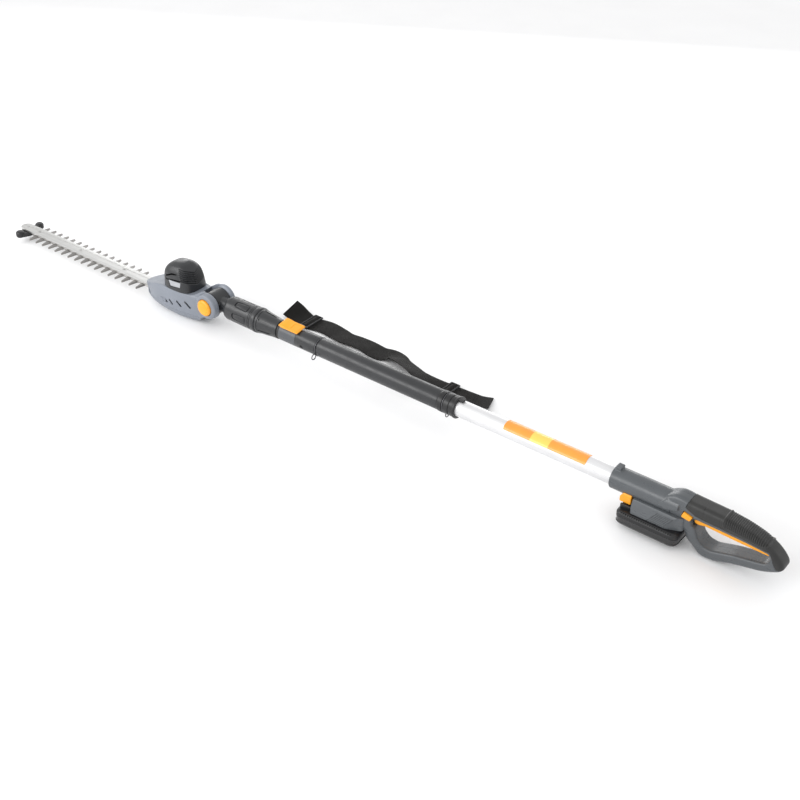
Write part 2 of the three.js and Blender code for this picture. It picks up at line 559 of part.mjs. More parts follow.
function addTrigger() {
  const outline = [[73, -3], [70.5, -7], [69, -10.5], [70.5, -14.5], [77, -15.5], [88, -13], [136, -15],
    [186, -16], [195, -16], [197, -10.5], [193, -1], [188, 0.5], [182, -1.5], [150, -2], [80, -1]];
  const [pivotX, pivotZ] = TRIGGER_PIVOT;
  const trigger = slab(outline, 9, 1.4).subtract(rod('y', 1.8, -20, 20, 12).translate([pivotX, 0, pivotZ]));
  add(tool, 'trigger', trigger, ORANGE);
  add(tool, 'trigger_pin', rod('y', 1.5, -11, 11, 12).translate([pivotX, 0, pivotZ]), STEEL);
  add(tool, 'power_switch', box(92, 122, -8, 8, 4.6, 16), BLACK);
}

// ---------- battery and its dock ----------
const PACK_HALF = 37;
const PACK_FRONT_X = -55;
const PACK_REAR_X = 56;
const RELEASE_HALF = 21;
const PACK_BOTTOM = -60;
const PACK_SPLIT = -44;
const PACK_TOP = -34;

function addBatteryDock() {
  const section = [[-31, PACK_TOP + 0.5], [31, PACK_TOP + 0.5], [31, -28], [23, -9], [-23, -9], [-31, -28]];
  const block = bar(section, -32, 57).subtract(rod('x', HANDLE_R + GAP, -95, 60))
    .subtract(slab(inset(HANDLE_OUTLINE, -0.4), HANDLE_HALF + 0.4)).subtract(box(-28, 26, -24, 24, -40, -24));
  add(tool, 'battery_dock', block, HANDLE_GREY);
  add(tool, 'terminal_block', box(4, 20, -14, 14, -33, -24 - GAP), BRIGHT);
}

function packBlock(z0, z1, bevelTop, bevelBottom) {
  const outline = roundedRectangle(PACK_FRONT_X, PACK_REAR_X, -PACK_HALF, PACK_HALF, 9);
  const bevel = 5;
  const geometry = new THREE.ExtrudeGeometry(shapeOf(outline), {
    depth: 40, bevelEnabled: true, bevelSize: bevel, bevelThickness: bevel, bevelOffset: -bevel, bevelSegments: 2,
  });
  const low = bevelBottom ? z0 + bevel : z0 + bevel - 20;
  const tall = solid(geometry.translate(0, 0, low));
  return bevelTop ? tall : tall.subtract(box(-99, 99, -99, 99, z1, z1 + 99));
}

function addBattery() {
  const well = (z0, z1) => plate(roundedRectangle(PACK_FRONT_X + 2.4, PACK_REAR_X - 2.4, 2.4 - PACK_HALF,
    PACK_HALF - 2.4, 6), z0, z1);
  const lower = packBlock(PACK_BOTTOM, PACK_SPLIT, false, true).subtract(well(PACK_BOTTOM + 2.2, 0));
  const lid = plate(roundedRectangle(PACK_FRONT_X, PACK_REAR_X, -PACK_HALF, PACK_HALF, 9),
    PACK_SPLIT + GAP, PACK_TOP - 4)
    .add(plate(roundedRectangle(PACK_FRONT_X + 3, PACK_REAR_X - 3, 3 - PACK_HALF, PACK_HALF - 3, 8),
      PACK_TOP - 4.5, PACK_TOP))
    .subtract(well(-60, -38.9));
  const shoulder = box(PACK_FRONT_X + 3, -33.5, -25, 25, PACK_TOP - 1, -26.3)
    .subtract(box(-60, -35.5, -RELEASE_HALF - 0.5, RELEASE_HALF + 0.5, -29.6, -20));
  add(tool, 'battery_lower_case', lower, BLACK);
  add(tool, 'battery_upper_case', lid.add(shoulder), BLACK);
  for (let i = 0; i < 5; i += 1) {
    const cell = rod('y', 9, -32.5, 32.5, 16).translate([-41.5 + 21 * i, 0, -48.6]);
    add(tool, `battery_cell_${i + 1}`, cell, CELL);
  }
  const front = [[-RELEASE_HALF, -26], [RELEASE_HALF, -26], [RELEASE_HALF, -10], [18, -7], [-18, -7],
    [-RELEASE_HALF, -10]];
  const saddle = bar(front, -56.5, -36).subtract(rod('x', HANDLE_R + 0.5, -95, 0))
    .subtract(slab([[-60, -22], [-60, -4], [-48, -4]], 40));
  add(tool, 'battery_release', saddle, ORANGE);
}

// ---------- shoulder strap, lying loose behind the pole ----------
const STRAP_WIDTH = 46;
const STRAP_THICK = 2.4;
// Centre line: place along the pole, distance behind it, height off the floor, bank in degrees.
const STRAP_ROUTE = [[-905, 127, 10, 15], [-888, 126, 4, 7], [-872, 125, 1, 0], [-856, 125, 0, 0],
  [-824, 131, 1, 0], [-790, 128, 1, -2], [-767, 124, 2, -5], [-740, 127, 2, -5], [-712, 128, 1.5, -4],
  [-678, 124, 1, 0], [-656, 131, 1.5, -4], [-637, 128.5, 5, -12.6], [-620, 121, 9, -23], [-588, 112, 9.5, -25],
  [-567, 105.5, 9, -22], [-540, 103, 4, -10], [-511, 103, 0, 0], [-478, 105, 0, 0], [-446, 107, 0.5, 0],
  [-425, 110, 1.5, -3], [-404, 118, 4, -8]];

function strapSolid() {
  const curve = new THREE.CatmullRomCurve3(STRAP_ROUTE.map(([x, y, z]) => new THREE.Vector3(x, y, z)));
  const banks = new THREE.CatmullRomCurve3(STRAP_ROUTE.map(([x, , , bank]) => new THREE.Vector3(x, bank, 0)));
  const stations = 56;
  return loft(Array.from({ length: stations + 1 }, (_, i) => {
    const point = curve.getPoint(i / stations);
    const along = curve.getTangent(i / stations);
    const bank = THREE.MathUtils.degToRad(banks.getPoint(i / stations).y);
    const across = new THREE.Vector3(-along.y, along.x, 0).normalize().multiplyScalar(Math.cos(bank));
    across.setZ(Math.sin(bank)).multiplyScalar(STRAP_WIDTH / 2);
    const rise = floorAt(point.x) + point.z + 0.4;
    return [[-1, 0], [1, 0], [1, STRAP_THICK], [-1, STRAP_THICK]].map(([side, lift]) => [
      point.x + side * across.x, point.y + side * across.y, rise + lift + side * across.z]);
  }));
}

function slider(x, y, lift) {
  const half = STRAP_WIDTH / 2 + 2.5;
  const z = floorAt(x) + STRAP_THICK + lift;
  const frame = box(-11, 11, -half, half, z, z + 3)
    .subtract(box(-8, -2, 2.5 - half, half - 2.5, z - 1, z + 4))
    .subtract(box(2, 8, 2.5 - half, half - 2.5, z - 1, z + 4));
  return frame.translate([x, y, 0]);
}

function addStrap() {
  add(tool, 'shoulder_strap', strapSolid(), WEBBING);
  add(tool, 'strap_slider_front', slider(-859, 125, 2.2), BLACK);
  add(tool, 'strap_slider_rear', slider(-493, 104, 0.9), BLACK);
}

addBlades();
addTipGuard();
addHousing();
addMotor();
addGearTrain();
addTiltLock();
addNeck();
addPole();
addClamp();
addGripEnd();
addHandle();
addTrigger();
addBatteryDock();
addBattery();
addStrap();

// Stand the tool on its foot and its gear housing, with the foot at the origin.
const group = new THREE.Group();
const tilt = -Math.atan(SLOPE);
tool.rotation.y = tilt;
tool.position.copy(new THREE.Vector3(-FOOT_X, 0, FOOT_DEPTH).applyEuler(tool.rotation));
group.add(tool);

export default group;
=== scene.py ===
"""Looks of the cordless pole hedge trimmer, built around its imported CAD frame.

Pieces are drawn in the tool's own millimetres: X runs from the blade tip to the handle along the
pole's axis, Z is up and X = 0 lies over the battery. TOOL turns that into the frame's metres.
"""
import json
import math

import bmesh
import bpy
from mathutils import Matrix, Vector

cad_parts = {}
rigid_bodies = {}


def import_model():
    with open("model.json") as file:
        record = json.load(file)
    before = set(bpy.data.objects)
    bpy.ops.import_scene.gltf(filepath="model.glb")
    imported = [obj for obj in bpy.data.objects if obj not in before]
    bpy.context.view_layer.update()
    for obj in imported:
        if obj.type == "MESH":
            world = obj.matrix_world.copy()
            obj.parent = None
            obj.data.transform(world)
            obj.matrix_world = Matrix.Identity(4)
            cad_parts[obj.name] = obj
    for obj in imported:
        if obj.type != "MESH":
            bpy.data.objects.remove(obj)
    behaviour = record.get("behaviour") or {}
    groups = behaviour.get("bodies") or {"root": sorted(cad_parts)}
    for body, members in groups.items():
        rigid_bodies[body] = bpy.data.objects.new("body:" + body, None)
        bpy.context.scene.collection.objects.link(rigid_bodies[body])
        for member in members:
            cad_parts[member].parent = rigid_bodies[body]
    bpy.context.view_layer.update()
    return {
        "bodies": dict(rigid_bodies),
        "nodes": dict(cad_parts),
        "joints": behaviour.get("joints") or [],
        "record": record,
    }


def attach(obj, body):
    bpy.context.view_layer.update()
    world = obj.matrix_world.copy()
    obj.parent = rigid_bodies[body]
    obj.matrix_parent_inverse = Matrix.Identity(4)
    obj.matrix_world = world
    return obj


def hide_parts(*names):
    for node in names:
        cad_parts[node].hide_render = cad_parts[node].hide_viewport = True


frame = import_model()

record = frame["record"]
joints = {joint["name"]: joint for joint in frame["joints"]}
body_of = {node: body for body, nodes in record["behaviour"]["bodies"].items() for node in nodes}
slot_of = {part["node"]: part["material_slot"] for part in record["subparts"]}

# ---------- the tool's own axes, read from the joints ----------
PIVOT_X = -1000
POLE = -Vector(joints["pole_extension"]["axis"]).normalized()
SIDE = Vector((0, 1, 0))
UP = POLE.cross(SIDE)
ORIGIN = Vector(joints["head_tilt"]["pos_m"]) - POLE * PIVOT_X / 1000
TOOL = Matrix.Translation(ORIGIN) @ Matrix((POLE, SIDE, UP)).transposed().to_4x4() @ Matrix.Scale(0.001, 4)


def floor_at(x):
    """Height of the ground under a place along the tool, in tool millimetres."""
    return -(ORIGIN.z + POLE.z * x / 1000) / UP.z * 1000


# ---------- driving dimensions, as in the CAD part ----------
PITCH = 22.5
STROKE = 10
FAR_TEETH = 16
NEAR_TEETH = 17
NEAR_PHASE = 0.39
FIRST_TOOTH_X = -1584
TIP_X = -1638
BLADE_TOP = -27.9
BLADE_THICK = 1.9
GUIDE_BOLTS = (-575, -430, -285)
GAP = 0.3
POLE_R = 15.85
INNER_R = 14
SLEEVE_R = 18.8
HANDLE_R = 20
SPLIT_Z = -36
HEAD_HALF = 36
MOTOR_X = PIVOT_X - 89
GEAR_X = PIVOT_X - 119


# ---------- outlines ----------
def area(outline):
    return sum(a[0] * b[1] - b[0] * a[1] for a, b in zip(outline, outline[1:] + outline[:1])) / 2


def inset(outline, distance):
    """The outline moved inwards by a distance, or outwards when negative."""
    turn = 1 if area(outline) > 0 else -1
    moved = []
    for i, point in enumerate(outline):
        before = Vector(point) - Vector(outline[i - 1])
        after = Vector(outline[(i + 1) % len(outline)]) - Vector(point)
        before.normalize()
        after.normalize()
        normal = Vector((-before.y - after.y, before.x + after.x))
        normal.normalize()
        reach = distance / max(0.5, normal.dot(Vector((-before.y, before.x))))
        moved.append((point[0] + turn * normal.x * reach, point[1] + turn * normal.y * reach))
    return moved


def rounded(points, radius, steps=4, closed=True):
    """The outline with its corners turned into curves that start up to radius from each corner."""
    result = []
    count = len(points)
    for i, point in enumerate(points):
        if not closed and i in (0, count - 1):
            result.append(tuple(point))
            continue
        corner = Vector(point)
        back = Vector(points[i - 1]) - corner
        ahead = Vector(points[(i + 1) % count]) - corner
        start = corner + back * min(0.49, radius / max(back.length, 1e-6))
        end = corner + ahead * min(0.49, radius / max(ahead.length, 1e-6))
        for k in range(steps + 1):
            t = k / steps
            bent = start * (1 - t) ** 2 + corner * 2 * t * (1 - t) + end * t * t
            result.append(tuple(bent))
    return result


def rectangle(u0, u1, v0, v1, radius=0.0):
    corners = [(u1, v1), (u0, v1), (u0, v0), (u1, v0)]
    return rounded(corners, radius) if radius else corners


# ---------- solids, in tool millimetres ----------
def linked(name, data):
    made = bpy.data.objects.new(name, data)
    bpy.context.scene.collection.objects.link(made)
    return made


def solid(points, faces):
    mesh = bpy.data.meshes.new("solid")
    mesh.from_pydata([tuple(p) for p in points], [], faces)
    edit = bmesh.new()
    edit.from_mesh(mesh)
    bmesh.ops.remove_doubles(edit, verts=edit.verts, dist=1e-4)
    bmesh.ops.dissolve_degenerate(edit, edges=edit.edges, dist=1e-5)
    bmesh.ops.recalc_face_normals(edit, faces=edit.faces)
    edit.to_mesh(mesh)
    edit.free()
    return linked("solid", mesh)


def loft(rings):
    """A closed skin through rings of points, each ring with the same number of points."""
    count = len(rings[0])
    points = [point for ring in rings for point in ring]
    faces = []
    for k in range(len(rings) - 1):
        for i in range(count):
            a, b = k * count + i, k * count + (i + 1) % count
            faces.append((a, b, b + count, a + count))
    last = (len(rings) - 1) * count
    faces.append(tuple(reversed(range(count))))
    faces.append(tuple(range(last, last + count)))
    return solid(points, faces)


def prism(axis, outline, levels, radius=0.0):
    """A solid through copies of an outline at (height, inset) levels along an axis.

    A radius rounds the corners of each copy after it is moved in.
    """
    place = {
        "x": lambda u, v, h: (h, u, v),
        "y": lambda u, v, h: (u, h, v),
        "z": lambda u, v, h: (u, v, h),
    }[axis]
    rings = []
    for height, distance in levels:
        ring = inset(outline, distance) if distance else outline
        ring = rounded(ring, radius) if radius else ring
        rings.append([place(u, v, height) for u, v in ring])
    return loft(rings)


def soft(low, high, edge, steps=4):
    """Levels of a prism whose two ends have rounded edges."""
    turns = [math.pi / 2 * i / steps for i in range(steps + 1)]
    start = [(low + edge * (1 - math.cos(a)), edge * (1 - math.sin(a))) for a in turns]
    return start + [(high + low - h, d) for h, d in reversed(start)]


def flared(half, edge, reach=12, steps=4):
    """Levels of a cutter through a part as wide as 2 * half, which rounds the edges of its hole."""
    turns = [math.pi / 2 * i / steps for i in range(steps + 1)]
    inner = [(half - edge + edge * math.sin(a), -edge * (1 - math.cos(a))) for a in turns]
    outer = inner + [(half + reach, -edge)]
    return [(-h, d) for h, d in reversed(outer)] + outer


def box(x0, x1, y0, y1, z0, z1, edge=0.0):
    levels = soft(z0, z1, edge) if edge else [(z0, 0), (z1, 0)]
    return prism("z", rectangle(x0, x1, y0, y1, edge), levels)


def turned(axis, profile, sides=72, corner=0.0):
    """A turned solid: profile points are (place along the axis, radius), from axis to axis or a loop."""
    closed = profile[0] == profile[-1]
    line = profile[:-1] if closed else profile
    if corner:
        line = rounded(line, corner, 3, closed)
    place = {
        "x": lambda h, r, a: (h, r * math.cos(a), r * math.sin(a)),
        "y": lambda h, r, a: (r * math.sin(a), h, r * math.cos(a)),
        "z": lambda h, r, a: (r * math.cos(a), r * math.sin(a), h),
    }[axis]
    points = [place(h, r, 2 * math.pi * i / sides) for h, r in line for i in range(sides)]
    spans = len(line) if closed else len(line) - 1
    faces = []
    for k in range(spans):
        for i in range(sides):
            a, b = k * sides + i, k * sides + (i + 1) % sides
            c, d = (a + sides) % len(points), (b + sides) % len(points)
            faces.append((a, b, d, c))
    return solid(points, faces)


def rod(axis, radius, low, high, sides=72, edge=0.0):
    profile = [(low, 0), (low, radius), (high, radius), (high, 0)]
    return turned(axis, profile, sides, edge)


def collar(axis, start, end, inner, outer, edge=0.0):
    """A ring of plain section round an axis."""
    profile = [(start, inner), (start, outer), (end, outer), (end, inner), (start, inner)]
    return turned(axis, profile, 96, edge)


def moved(obj, x=0, y=0, z=0):
    obj.data.transform(Matrix.Translation((x, y, z)))
    return obj


def spun(obj, degrees, axis, centre=(0, 0, 0)):
    shift = Matrix.Translation(centre)
    obj.data.transform(shift @ Matrix.Rotation(math.radians(degrees), 4, axis) @ shift.inverted())
    return obj


def applied(obj):
    """The object with its modifiers worked into its mesh."""
    graph = bpy.context.evaluated_depsgraph_get()
    mesh = bpy.data.meshes.new_from_object(obj.evaluated_get(graph))
    obj.modifiers.clear()
    obj.data = mesh
    return obj


def combine(kind, obj, *others):
    for other in others:
        modifier = obj.modifiers.new("combine", "BOOLEAN")
        modifier.operation = kind
        modifier.solver = "MANIFOLD"
        modifier.object = other
        applied(obj)
        bpy.data.objects.remove(other)
    return obj


def join(obj, *others):
    return combine("UNION", obj, *others)


def cut(obj, *others):
    return combine("DIFFERENCE", obj, *others)


def common(obj, *others):
    return combine("INTERSECT", obj, *others)


def copy(obj):
    return linked("copy", obj.data.copy())


def moulded(obj, voxel, rounds=6):
    """The solid as one moulding: fused, with its edges softened by about a voxel."""
    remesh = obj.modifiers.new("remesh", "REMESH")
    remesh.mode = "VOXEL"
    remesh.voxel_size = voxel
    smooth = obj.modifiers.new("smooth", "SMOOTH")
    smooth.factor = 0.5
    smooth.iterations = rounds
    return applied(obj)


def together(parts):
    """Solids that don't touch each other, as one object."""
    whole = parts[0]
    edit = bmesh.new()
    for part in parts:
        edit.from_mesh(part.data)
    edit.to_mesh(whole.data)
    edit.free()
    for part in parts[1:]:
        bpy.data.objects.remove(part)
    return whole


def split_notched_faces(mesh):
    """Flat faces with notches or holes become plain ones that are filled without folds."""
    edit = bmesh.new()
    edit.from_mesh(mesh)
    bmesh.ops.connect_verts_concave(edit, faces=[face for face in edit.faces if len(face.verts) > 4])
    edit.to_mesh(mesh)
    edit.free()


def piece(obj, node, material, smooth_angle=38):
    """Puts a drawn solid in the place of its CAD node."""
    split_notched_faces(obj.data)
    obj.name = node + "_skin"
    obj.data.name = node + "_skin"
    obj.data.transform(TOOL)
    obj.data.materials.clear()
    obj.data.materials.append(material)
    for polygon in obj.data.polygons:
        polygon.material_index = 0
    obj.data.shade_smooth()
    obj.data.set_sharp_from_angle(angle=math.radians(smooth_angle))
    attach(obj, body_of[node])
    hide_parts(node)
    return obj


# ---------- materials ----------
class Nodes:
    """Short names for building one material's nodes."""

    def __init__(self, name):
        self.material = bpy.data.materials.new(name)
        self.material.use_nodes = True
        self.tree = self.material.node_tree
        self.shader = self.tree.nodes["Principled BSDF"]
        self.place = self.tree.nodes.new("ShaderNodeTexCoord").outputs["Object"]

    def feed(self, socket, value):
        if isinstance(value, bpy.types.NodeSocket):
            self.tree.links.new(value, socket)
        else:
            socket.default_value = value

    def node(self, kind, inputs=None, **settings):
        made = self.tree.nodes.new("ShaderNode" + kind)
        for key, value in settings.items():
            setattr(made, key, value)
        for key, value in (inputs or {}).items():
            self.feed(made.inputs[key], value)
        return made

    def stretched(self, scale):
        return self.node("Mapping", {"Vector": self.place, "Scale": scale}).outputs["Vector"]

    def noise(self, scale, detail=4.0, vector=None):
        inputs = {"Vector": vector or self.place, "Scale": scale, "Detail": detail}
        return self.node("TexNoise", inputs).outputs["Fac"]

    def spread(self, value, low, high, start=0.3, end=0.7):
        inputs = {"Value": value, "From Min": start, "From Max": end, "To Min": low, "To Max": high}
        return self.node("MapRange", inputs).outputs["Result"]

    def mix(self, factor, first, second):
        made = self.node("Mix", data_type="RGBA")
        for index, value in ((0, factor), (6, first), (7, second)):
            self.feed(made.inputs[index], value)
        return made.outputs[2]

    def math(self, operation, first, second=0.0):
        return self.node("Math", {0: first, 1: second}, operation=operation).outputs[0]

    def bump(self, height, strength, distance, normal=None):
        inputs = {"Height": height, "Strength": strength, "Distance": distance}
        if normal:
            inputs["Normal"] = normal
        return self.node("Bump", inputs).outputs["Normal"]

    def link(self, value, name):
        """Feeds an input of the shader with a node's output or a plain value."""
        self.feed(self.shader.inputs[name], value)


def shade(colour, factor):
    return (*(min(1.0, c * factor) for c in colour), 1.0)


def plastic(name, colour, roughness, grain=1400, grain_depth=0.35, wear=0.35, coat=0.0, specular=0.5):
    """Moulded plastic: cloudy colour, fine spark-eroded grain, scuffs and paler worn edges."""
    n = Nodes(name)
    cloudy = n.mix(n.spread(n.noise(22, 3), 0, 1), shade(colour, 0.9), shade(colour, 1.08))
    speckle = n.mix(n.spread(n.noise(grain * 0.8, 2), 0, 1), shade(colour, 0.88), shade(colour, 1.12))
    base = n.mix(0.4, cloudy, speckle)
    edge = n.spread(n.node("NewGeometry").outputs["Pointiness"], 0, wear, 0.53, 0.6)
    n.link(n.mix(edge, base, shade(colour, 1.9)), "Base Color")
    scuffs = n.noise(1, 5, n.stretched((60, 90, 260)))
    n.link(n.spread(scuffs, roughness - 0.06, roughness + 0.09), "Roughness")
    n.link(n.bump(n.noise(grain, 2), grain_depth, 0.00012), "Normal")
    n.link(coat, "Coat Weight")
    n.link(0.15, "Coat Roughness")
    n.link(specular, "Specular IOR Level")
    return n.material


def metal(name, colour, roughness, along=(6, 500, 500), depth=0.25, metallic=1.0, tint=0.9):
    """Machined metal: fine lines along the direction with the smallest scale, and faint smudges."""
    n = Nodes(name)
    lines = n.noise(1, 4, n.stretched(along))
    smudge = n.noise(30, 3)
    tone = n.mix(n.spread(lines, 0, 1), shade(colour, tint), shade(colour, 1.04))
    n.link(n.mix(n.spread(smudge, 0, 0.3), tone, shade(colour, 0.8)), "Base Color")
    rough = n.math("ADD", n.spread(lines, roughness - 0.05, roughness + 0.07), n.spread(smudge, 0, 0.06))
    n.link(rough, "Roughness")
    n.link(n.bump(lines, depth, 0.00005), "Normal")
    n.link(metallic, "Metallic")
    return n.material


def rubber_grip(name, colour):
    """Soft overmoulded rubber: matt, with a pebbled grain and a dusty bloom."""
    n = Nodes(name)
    bloom = n.spread(n.noise(45, 5), 0, 1)
    n.link(n.mix(bloom, shade(colour, 0.85), shade(colour, 1.25)), "Base Color")
    cells = n.node("TexVoronoi", {"Vector": n.place, "Scale": 1300.0}).outputs["Distance"]
    fine = n.bump(n.noise(3000, 2), 0.2, 0.00005)
    n.link(n.bump(cells, 0.35, 0.00012, fine), "Normal")
    n.link(n.spread(n.noise(70, 4), 0.42, 0.56), "Roughness")
    n.link(0.08, "Sheen Weight")
    return n.material


def woven(name, colour):
    """Polyester webbing: ribs along its length crossed by picks, with painted shade in the low parts of the
    weave, painted highlight on the raised crowns of the ribs, and paler random patches.
    """
    n = Nodes(name)
    uv = n.node("UVMap", uv_map="cloth").outputs["UV"]
    split = n.node("SeparateXYZ", {"Vector": uv})
    along, across = split.outputs["X"], split.outputs["Y"]
    rib_pitch = 0.0023
    pick_pitch = 0.0016
    rib = n.math("SINE", n.math("MULTIPLY", across, 2 * math.pi / rib_pitch))
    flip = n.math("MULTIPLY", n.math("SIGN", rib), math.pi / 2)
    pick = n.math("SINE", n.math("ADD", n.math("MULTIPLY", along, 2 * math.pi / pick_pitch), flip))
    crown = n.math("ABSOLUTE", rib)
    weave = n.math("ADD", n.math("MULTIPLY", crown, 0.7), n.math("MULTIPLY", pick, 0.35))
    height = n.spread(weave, 0, 1, -0.35, 1.05)
    # painted shade and highlight: the weave's height darkens its low parts and lightens its crowns
    lines = n.mix(height, shade(colour, 0.45), shade(colour, 1.25))
    fuzz = n.spread(n.noise(900, 3), 0, 0.35)
    faded = n.mix(n.spread(n.noise(24, 3), 0, 0.35), lines, shade(colour, 1.5))
    n.link(n.mix(fuzz, faded, shade(colour, 1.7)), "Base Color")
    n.link(n.bump(height, 0.7, 0.0004), "Normal")
    n.link(n.spread(n.noise(60, 3), 0.8, 0.95), "Roughness")
    n.link(0.2, "Specular IOR Level")
    n.link(0.06, "Sheen Weight")
    n.link(0.5, "Sheen Roughness")
    return n.material


def sticker(name, colour, patch, patch_from, patch_to):
    """Printed film: a plain patch on a coloured ground, between two places along the frame's X."""
    n = Nodes(name)
    x = n.node("SeparateXYZ", {"Vector": n.place}).outputs["X"]
    inside = n.math("MULTIPLY", n.math("GREATER_THAN", x, patch_from), n.math("LESS_THAN", x, patch_to))
    cloudy = n.mix(n.spread(n.noise(40, 3), 0, 1), shade(colour, 0.94), shade(colour, 1.05))
    n.link(n.mix(inside, cloudy, shade(patch, 1)), "Base Color")
    n.link(n.spread(n.noise(120, 3), 0.3, 0.42), "Roughness")
    n.link(n.bump(n.noise(500, 2), 0.15, 0.00005), "Normal")
    n.link(0.4, "Coat Weight")
    return n.material


LABEL_PATCH = (-0.336, -0.300)
HEAD_GREY = plastic("head_grey", (0.190, 0.208, 0.243), 0.38, wear=0.3)
HANDLE_GREY = plastic("handle_grey", (0.080, 0.087, 0.094), 0.30, wear=0.25)
CHARCOAL = plastic("charcoal", (0.017, 0.018, 0.020), 0.33, wear=0.12)
BLACK = plastic("black", (0.008, 0.008, 0.009), 0.34, wear=0.1)
SATIN = plastic("satin_black", (0.022, 0.023, 0.025), 0.33, grain=1900, grain_depth=0.25, wear=0.05)
CLAMP_GREY = plastic("clamp_grey", (0.075, 0.080, 0.088), 0.34, wear=0.1)
GLOSS = plastic("gloss_black", (0.014, 0.014, 0.015), 0.22, grain_depth=0.1, wear=0.08, coat=0.3)
ORANGE = plastic("orange", (0.860, 0.345, 0.012), 0.36, grain_depth=0.2, wear=0.05)
RUBBER = rubber_grip("rubber", (0.014, 0.014, 0.0135))
SEAL = rubber_grip("seal_rubber", (0.010, 0.010, 0.010))
BLADE = metal("ground_steel", (0.30, 0.29, 0.28), 0.34, along=(420, 12, 420), depth=0.35)
BAR = metal("bright_bar", (0.60, 0.60, 0.59), 0.36, along=(5, 420, 420))
TUBE = metal("anodised_tube", (0.74, 0.74, 0.75), 0.34, along=(4, 700, 700), metallic=0.55)
WIRE = metal("wire", (0.16, 0.16, 0.17), 0.3, along=(200, 200, 200))
SCREW_BLACK = metal("blackened_screw", (0.05, 0.05, 0.052), 0.5, along=(300, 300, 300))
SCREW = metal("screw", (0.30, 0.30, 0.31), 0.4, along=(300, 300, 300))
CAST = metal("cast_aluminium", (0.60, 0.61, 0.62), 0.5, along=(200, 200, 200), depth=0.5)
COPPER = metal("copper", (0.72, 0.36, 0.17), 0.35, along=(200, 200, 700))
CELL_WRAP = plastic("cell_wrap", (0.030, 0.150, 0.240), 0.35, grain_depth=0.1)
WEBBING = woven("webbing", (0.0062, 0.0056, 0.0050))
LABEL = sticker("label", (0.88, 0.31, 0.03), (0.90, 0.58, 0.10), *LABEL_PATCH)
PLATE = plastic("blank_plate", (0.36, 0.37, 0.39), 0.4, grain_depth=0.1, wear=0.05)

NODE_MATERIALS = {
    "steel": SCREW,
    "bright_steel": BAR,
    "aluminium_tube": CAST,
    "head_plastic": HEAD_GREY,
    "handle_plastic": HANDLE_GREY,
    "black_plastic": BLACK,
    "rubber": RUBBER,
    "orange_plastic": ORANGE,
    "copper": COPPER,
    "cell_wrap": CELL_WRAP,
    "webbing": WEBBING,
}
for name, node in frame["nodes"].items():
    for place in node.material_slots:
        place.material = NODE_MATERIALS[slot_of[name]]


# ---------- camera, floor and light ----------
CAMERA_AZIMUTH = 38.577
CAMERA_ELEVATION = 34.346
CAMERA_PLACE = Vector((609.434, -1424.413, 1204.508))


def add_camera():
    azimuth, elevation = math.radians(CAMERA_AZIMUTH), math.radians(CAMERA_ELEVATION)
    back = Vector((
        math.sin(azimuth) * math.cos(elevation),
        -math.cos(azimuth) * math.cos(elevation),
        math.sin(elevation),
    ))
    camera = linked("camera", bpy.data.cameras.new("camera"))
    axes = TOOL.to_3x3().normalized()
    camera.rotation_euler = (axes @ (-back).to_track_quat("-Z", "Y").to_matrix()).to_euler()
    camera.location = TOOL @ CAMERA_PLACE
    camera.data.sensor_width = 36
    camera.data.lens = 54
    camera.data.clip_end = 50
    bpy.context.scene.camera = camera


def add_floor():
    n = Nodes("floor")
    tone = n.mix(n.spread(n.noise(6, 3), 0, 1), (0.90, 0.90, 0.905, 1), (0.92, 0.92, 0.925, 1))
    n.link(tone, "Base Color")
    n.link(n.spread(n.noise(30, 3), 0.55, 0.7), "Roughness")
    n.link(n.bump(n.noise(400, 2), 0.05, 0.0002), "Normal")
    n.link(0.3, "Specular IOR Level")
    size = 30
    mesh = bpy.data.meshes.new("floor")
    corners = [(-size, -size, 0), (size, -size, 0), (size, size, 0), (-size, size, 0)]
    mesh.from_pydata(corners, [], [(0, 1, 2, 3)])
    mesh.materials.append(n.material)
    linked("floor", mesh)


def add_light(name, place, target, size, power):
    light = bpy.data.lights.new(name, "AREA")
    light.shape = "RECTANGLE"
    light.size, light.size_y = size
    light.energy = power
    lamp = linked(name, light)
    lamp.location = place
    aim = Vector(target) - Vector(place)
    lamp.rotation_euler = aim.to_track_quat("-Z", "Y").to_euler()


def add_lights():
    world = bpy.data.worlds.new("studio")
    bpy.context.scene.world = world
    world.use_nodes = True
    background = world.node_tree.nodes["Background"]
    background.inputs["Color"].default_value = (1.0, 1.0, 1.0, 1)
    background.inputs["Strength"].default_value = 1.0
    add_light("front", (-1.5, -1.7, 1.1), (-0.5, 0, 0), (3.0, 0.8), 34)
    add_light("back", (-1.7, 1.8, 0.55), (-0.7, 0, 0), (2.8, 0.3), 14)
    bpy.context.scene.view_settings.view_transform = "Standard"


# ---------- cutting head; x is measured from the tilt axis, then moved to it ----------
def at_pivot(obj):
    return moved(obj, PIVOT_X)


